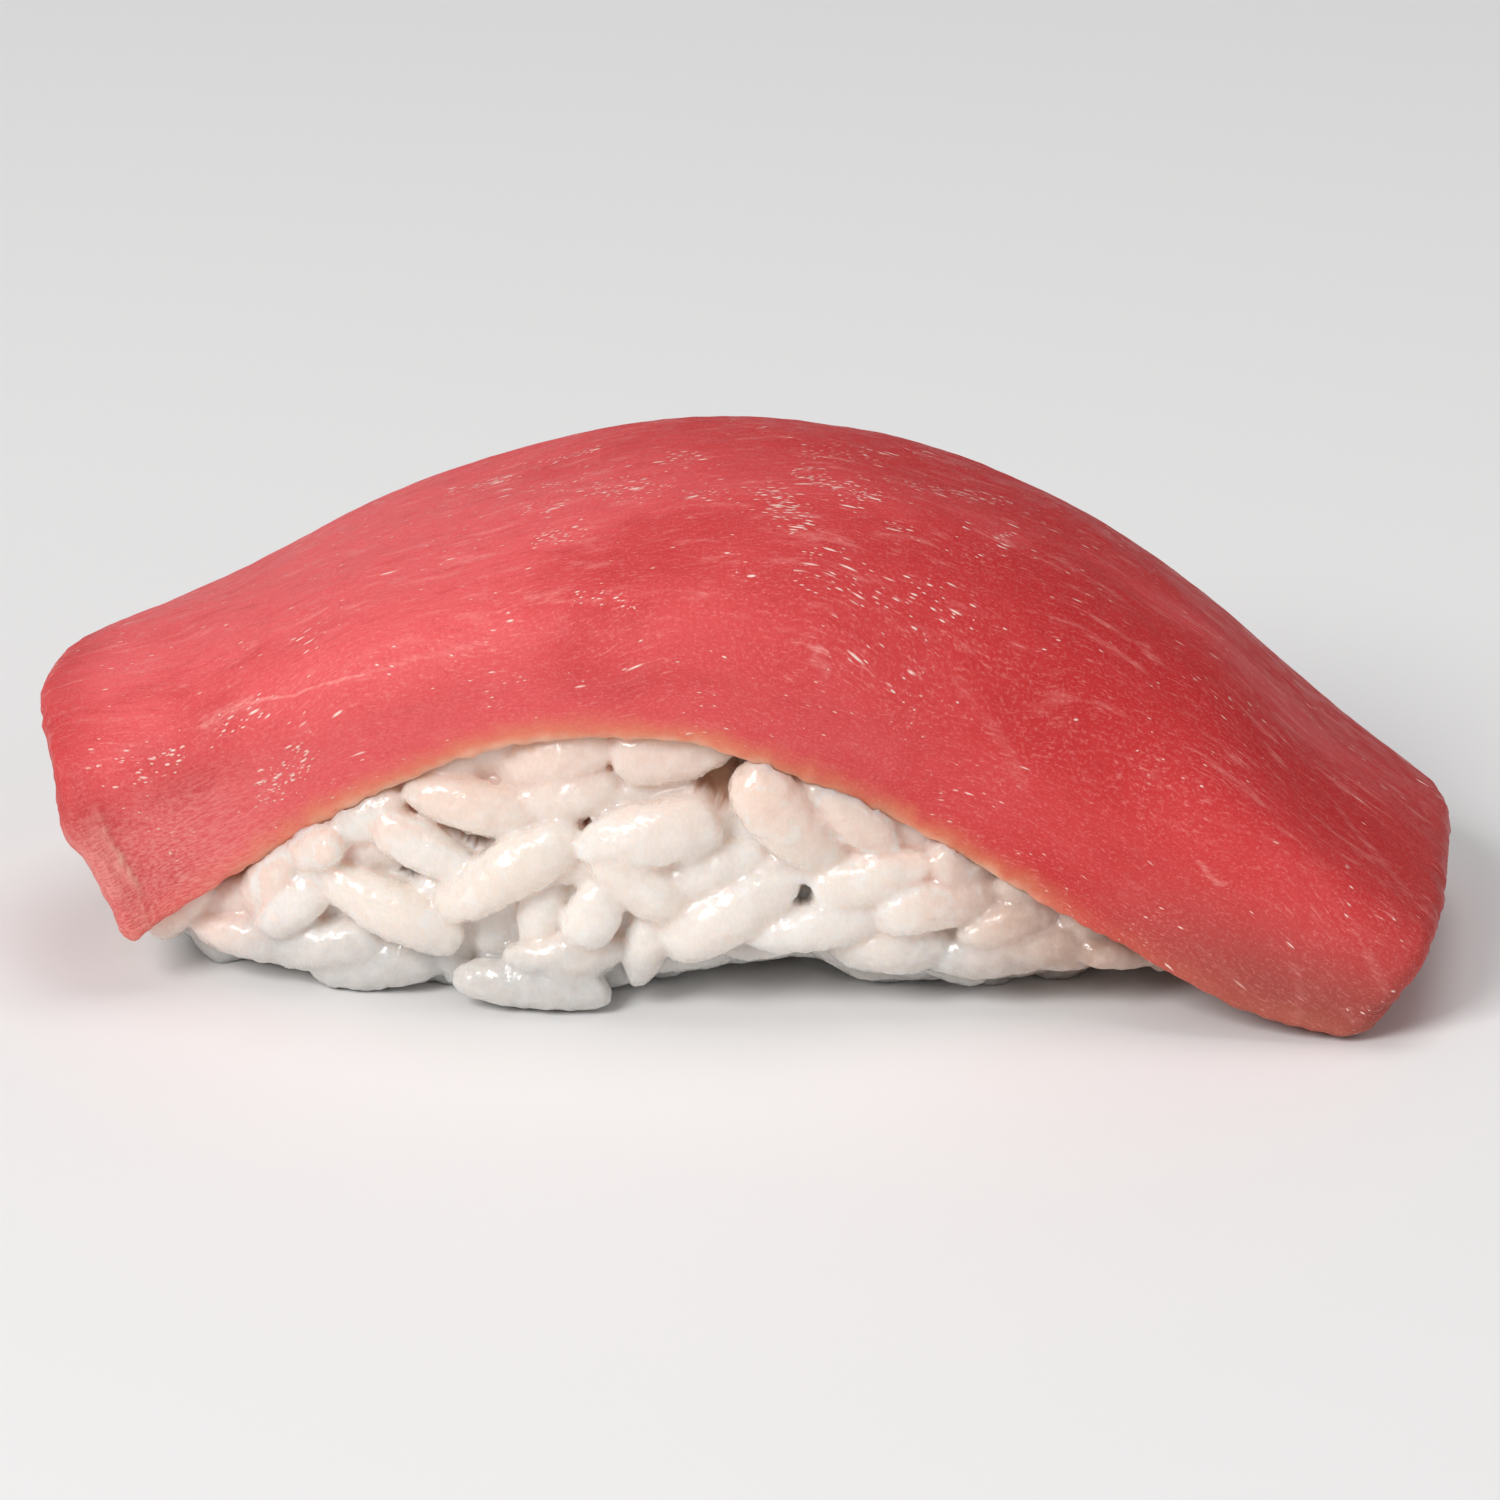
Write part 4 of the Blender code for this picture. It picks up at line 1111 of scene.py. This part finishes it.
# Painted shade for the gaps: where a point lies off every grain on the bare inside, and in the front gaps pushed in
# below.
gap_shades = np.clip((nearest - 1.30) / 0.30, 0, 1)
for x, height, half_width, half_height, depth in FRONT_GAPS:
    across = (rice_points[:, 0] / MM - x) / half_width
    upward = (rice_points[:, 2] / MM - height) / half_height
    rough_edge = 0.35 * texture(rice_points, (0.8, 0.8, 0.8), x)
    sunk = soft_step(1.0 + rough_edge - np.hypot(across, upward), 0.10)
    sunk[(on_shown & (nearest < 1.18)) | (rice_points[:, 1] > -6 * MM)] = 0.0
    rice_points[:, 1] += sunk * depth * MM
    gap_shades = np.maximum(gap_shades, sunk)
# How close each point sits under the slice, for the painted shade and reddish light there
near = np.zeros(len(rice_points))
for i, p in enumerate(rice_points):
    covered = underside(p[0], p[1])
    roof = covered or roof_over(p[0], p[1])
    if covered is not None:
        p[2] = min(p[2], covered - CONTACT)
    if roof is not None:
        near[i] = min(max(1 - (roof - p[2]) / (6.5 * MM), 0.0), 1.0)
    p[2] = max(p[2], FLOOR_GAP)
rice.data.vertices.foreach_set("co", rice_points.ravel())
rice.data.update()
rice.data.shade_smooth()
add_attribute(rice.data, "tone", "FLOAT", tones)
add_attribute(rice.data, "gap", "FLOAT", gap_shades)
add_attribute(rice.data, "near_fish", "FLOAT", near)
rice.data.materials.clear()
rice.data.materials.append(rice_finish)
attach(rice, "root")
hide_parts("rice")

# The floor
# A plain pale sheet that the sushi stands on, wide enough to fill the view from any side.
FLOOR_HALF = 1.5


def plain_material(name, colour, rough):
    """One even matt finish."""
    mat = bpy.data.materials.new(name)
    mat.use_nodes = True
    shader = mat.node_tree.nodes["Principled BSDF"]
    shader.inputs["Base Color"].default_value = colour
    shader.inputs["Roughness"].default_value = rough
    return mat


floor = new_piece("floor", [(-FLOOR_HALF, -FLOOR_HALF, 0), (FLOOR_HALF, -FLOOR_HALF, 0),
                            (FLOOR_HALF, FLOOR_HALF, 0), (-FLOOR_HALF, FLOOR_HALF, 0)], [(0, 1, 2, 3)])
floor.data.materials.append(plain_material("pale floor", (0.86, 0.85, 0.84, 1), 0.6))

# The light
# A soft studio set: one large key from the front left, a weak fill from the right and an even pale room.


def soft_light(name, place, aim, width, power):
    """A square soft box that looks at a point."""
    light = bpy.data.lights.new(name, "AREA")
    light.size = width
    light.energy = power
    lamp = bpy.data.objects.new(name, light)
    lamp.location = place
    lamp.rotation_euler = (Vector(aim) - Vector(place)).to_track_quat("-Z", "Y").to_euler()
    bpy.context.scene.collection.objects.link(lamp)


soft_light("key", (-0.38, -0.46, 0.50), (0, 0, 0.01), 0.34, 4.2)
soft_light("top", (0.06, 0.10, 0.62), (0, 0, 0.01), 0.34, 1.1)
soft_light("fill", (0.50, -0.40, 0.34), (0, 0, 0.01), 0.40, 0.6)
world = bpy.data.worlds.new("pale room")
world.use_nodes = True
world.node_tree.nodes["Background"].inputs["Color"].default_value = (0.95, 0.97, 1.0, 1)
world.node_tree.nodes["Background"].inputs["Strength"].default_value = 0.26
bpy.context.scene.world = world
bpy.context.scene.view_settings.view_transform = "Standard"

# The camera
# A long lens from the front, looking down at the sushi a little, its right end slightly nearer.
VIEW_DISTANCE = 430 * MM
VIEW_ELEVATION = math.radians(23.0)
VIEW_AZIMUTH = math.radians(5.0)
VIEW_ROLL = math.radians(1.0)
AIM = Vector((0.0, 0.0, 11.0)) * MM
PIXELS = 1500
PIXELS_PER_MM = 18.76
AIM_PIXEL = (745, 735)
SENSOR = 36.0

back = Vector((math.sin(VIEW_AZIMUTH) * math.cos(VIEW_ELEVATION),
               -math.cos(VIEW_AZIMUTH) * math.cos(VIEW_ELEVATION), math.sin(VIEW_ELEVATION)))
level = Vector((math.cos(VIEW_AZIMUTH), math.sin(VIEW_AZIMUTH), 0.0))
upright = back.cross(level)
right = level * math.cos(VIEW_ROLL) - upright * math.sin(VIEW_ROLL)
up = level * math.sin(VIEW_ROLL) + upright * math.cos(VIEW_ROLL)
lens = bpy.data.cameras.new("camera")
lens.sensor_width = SENSOR
lens.lens = PIXELS_PER_MM * VIEW_DISTANCE / MM * SENSOR / PIXELS
lens.clip_start = 0.01
camera = bpy.data.objects.new("camera", lens)
offset = right * (PIXELS / 2 - AIM_PIXEL[0]) - up * (PIXELS / 2 - AIM_PIXEL[1])
turn = Matrix((right, up, back)).transposed().to_4x4()
camera.matrix_world = Matrix.Translation(AIM + back * VIEW_DISTANCE + offset * (MM / PIXELS_PER_MM)) @ turn
bpy.context.scene.collection.objects.link(camera)
bpy.context.scene.camera = camera
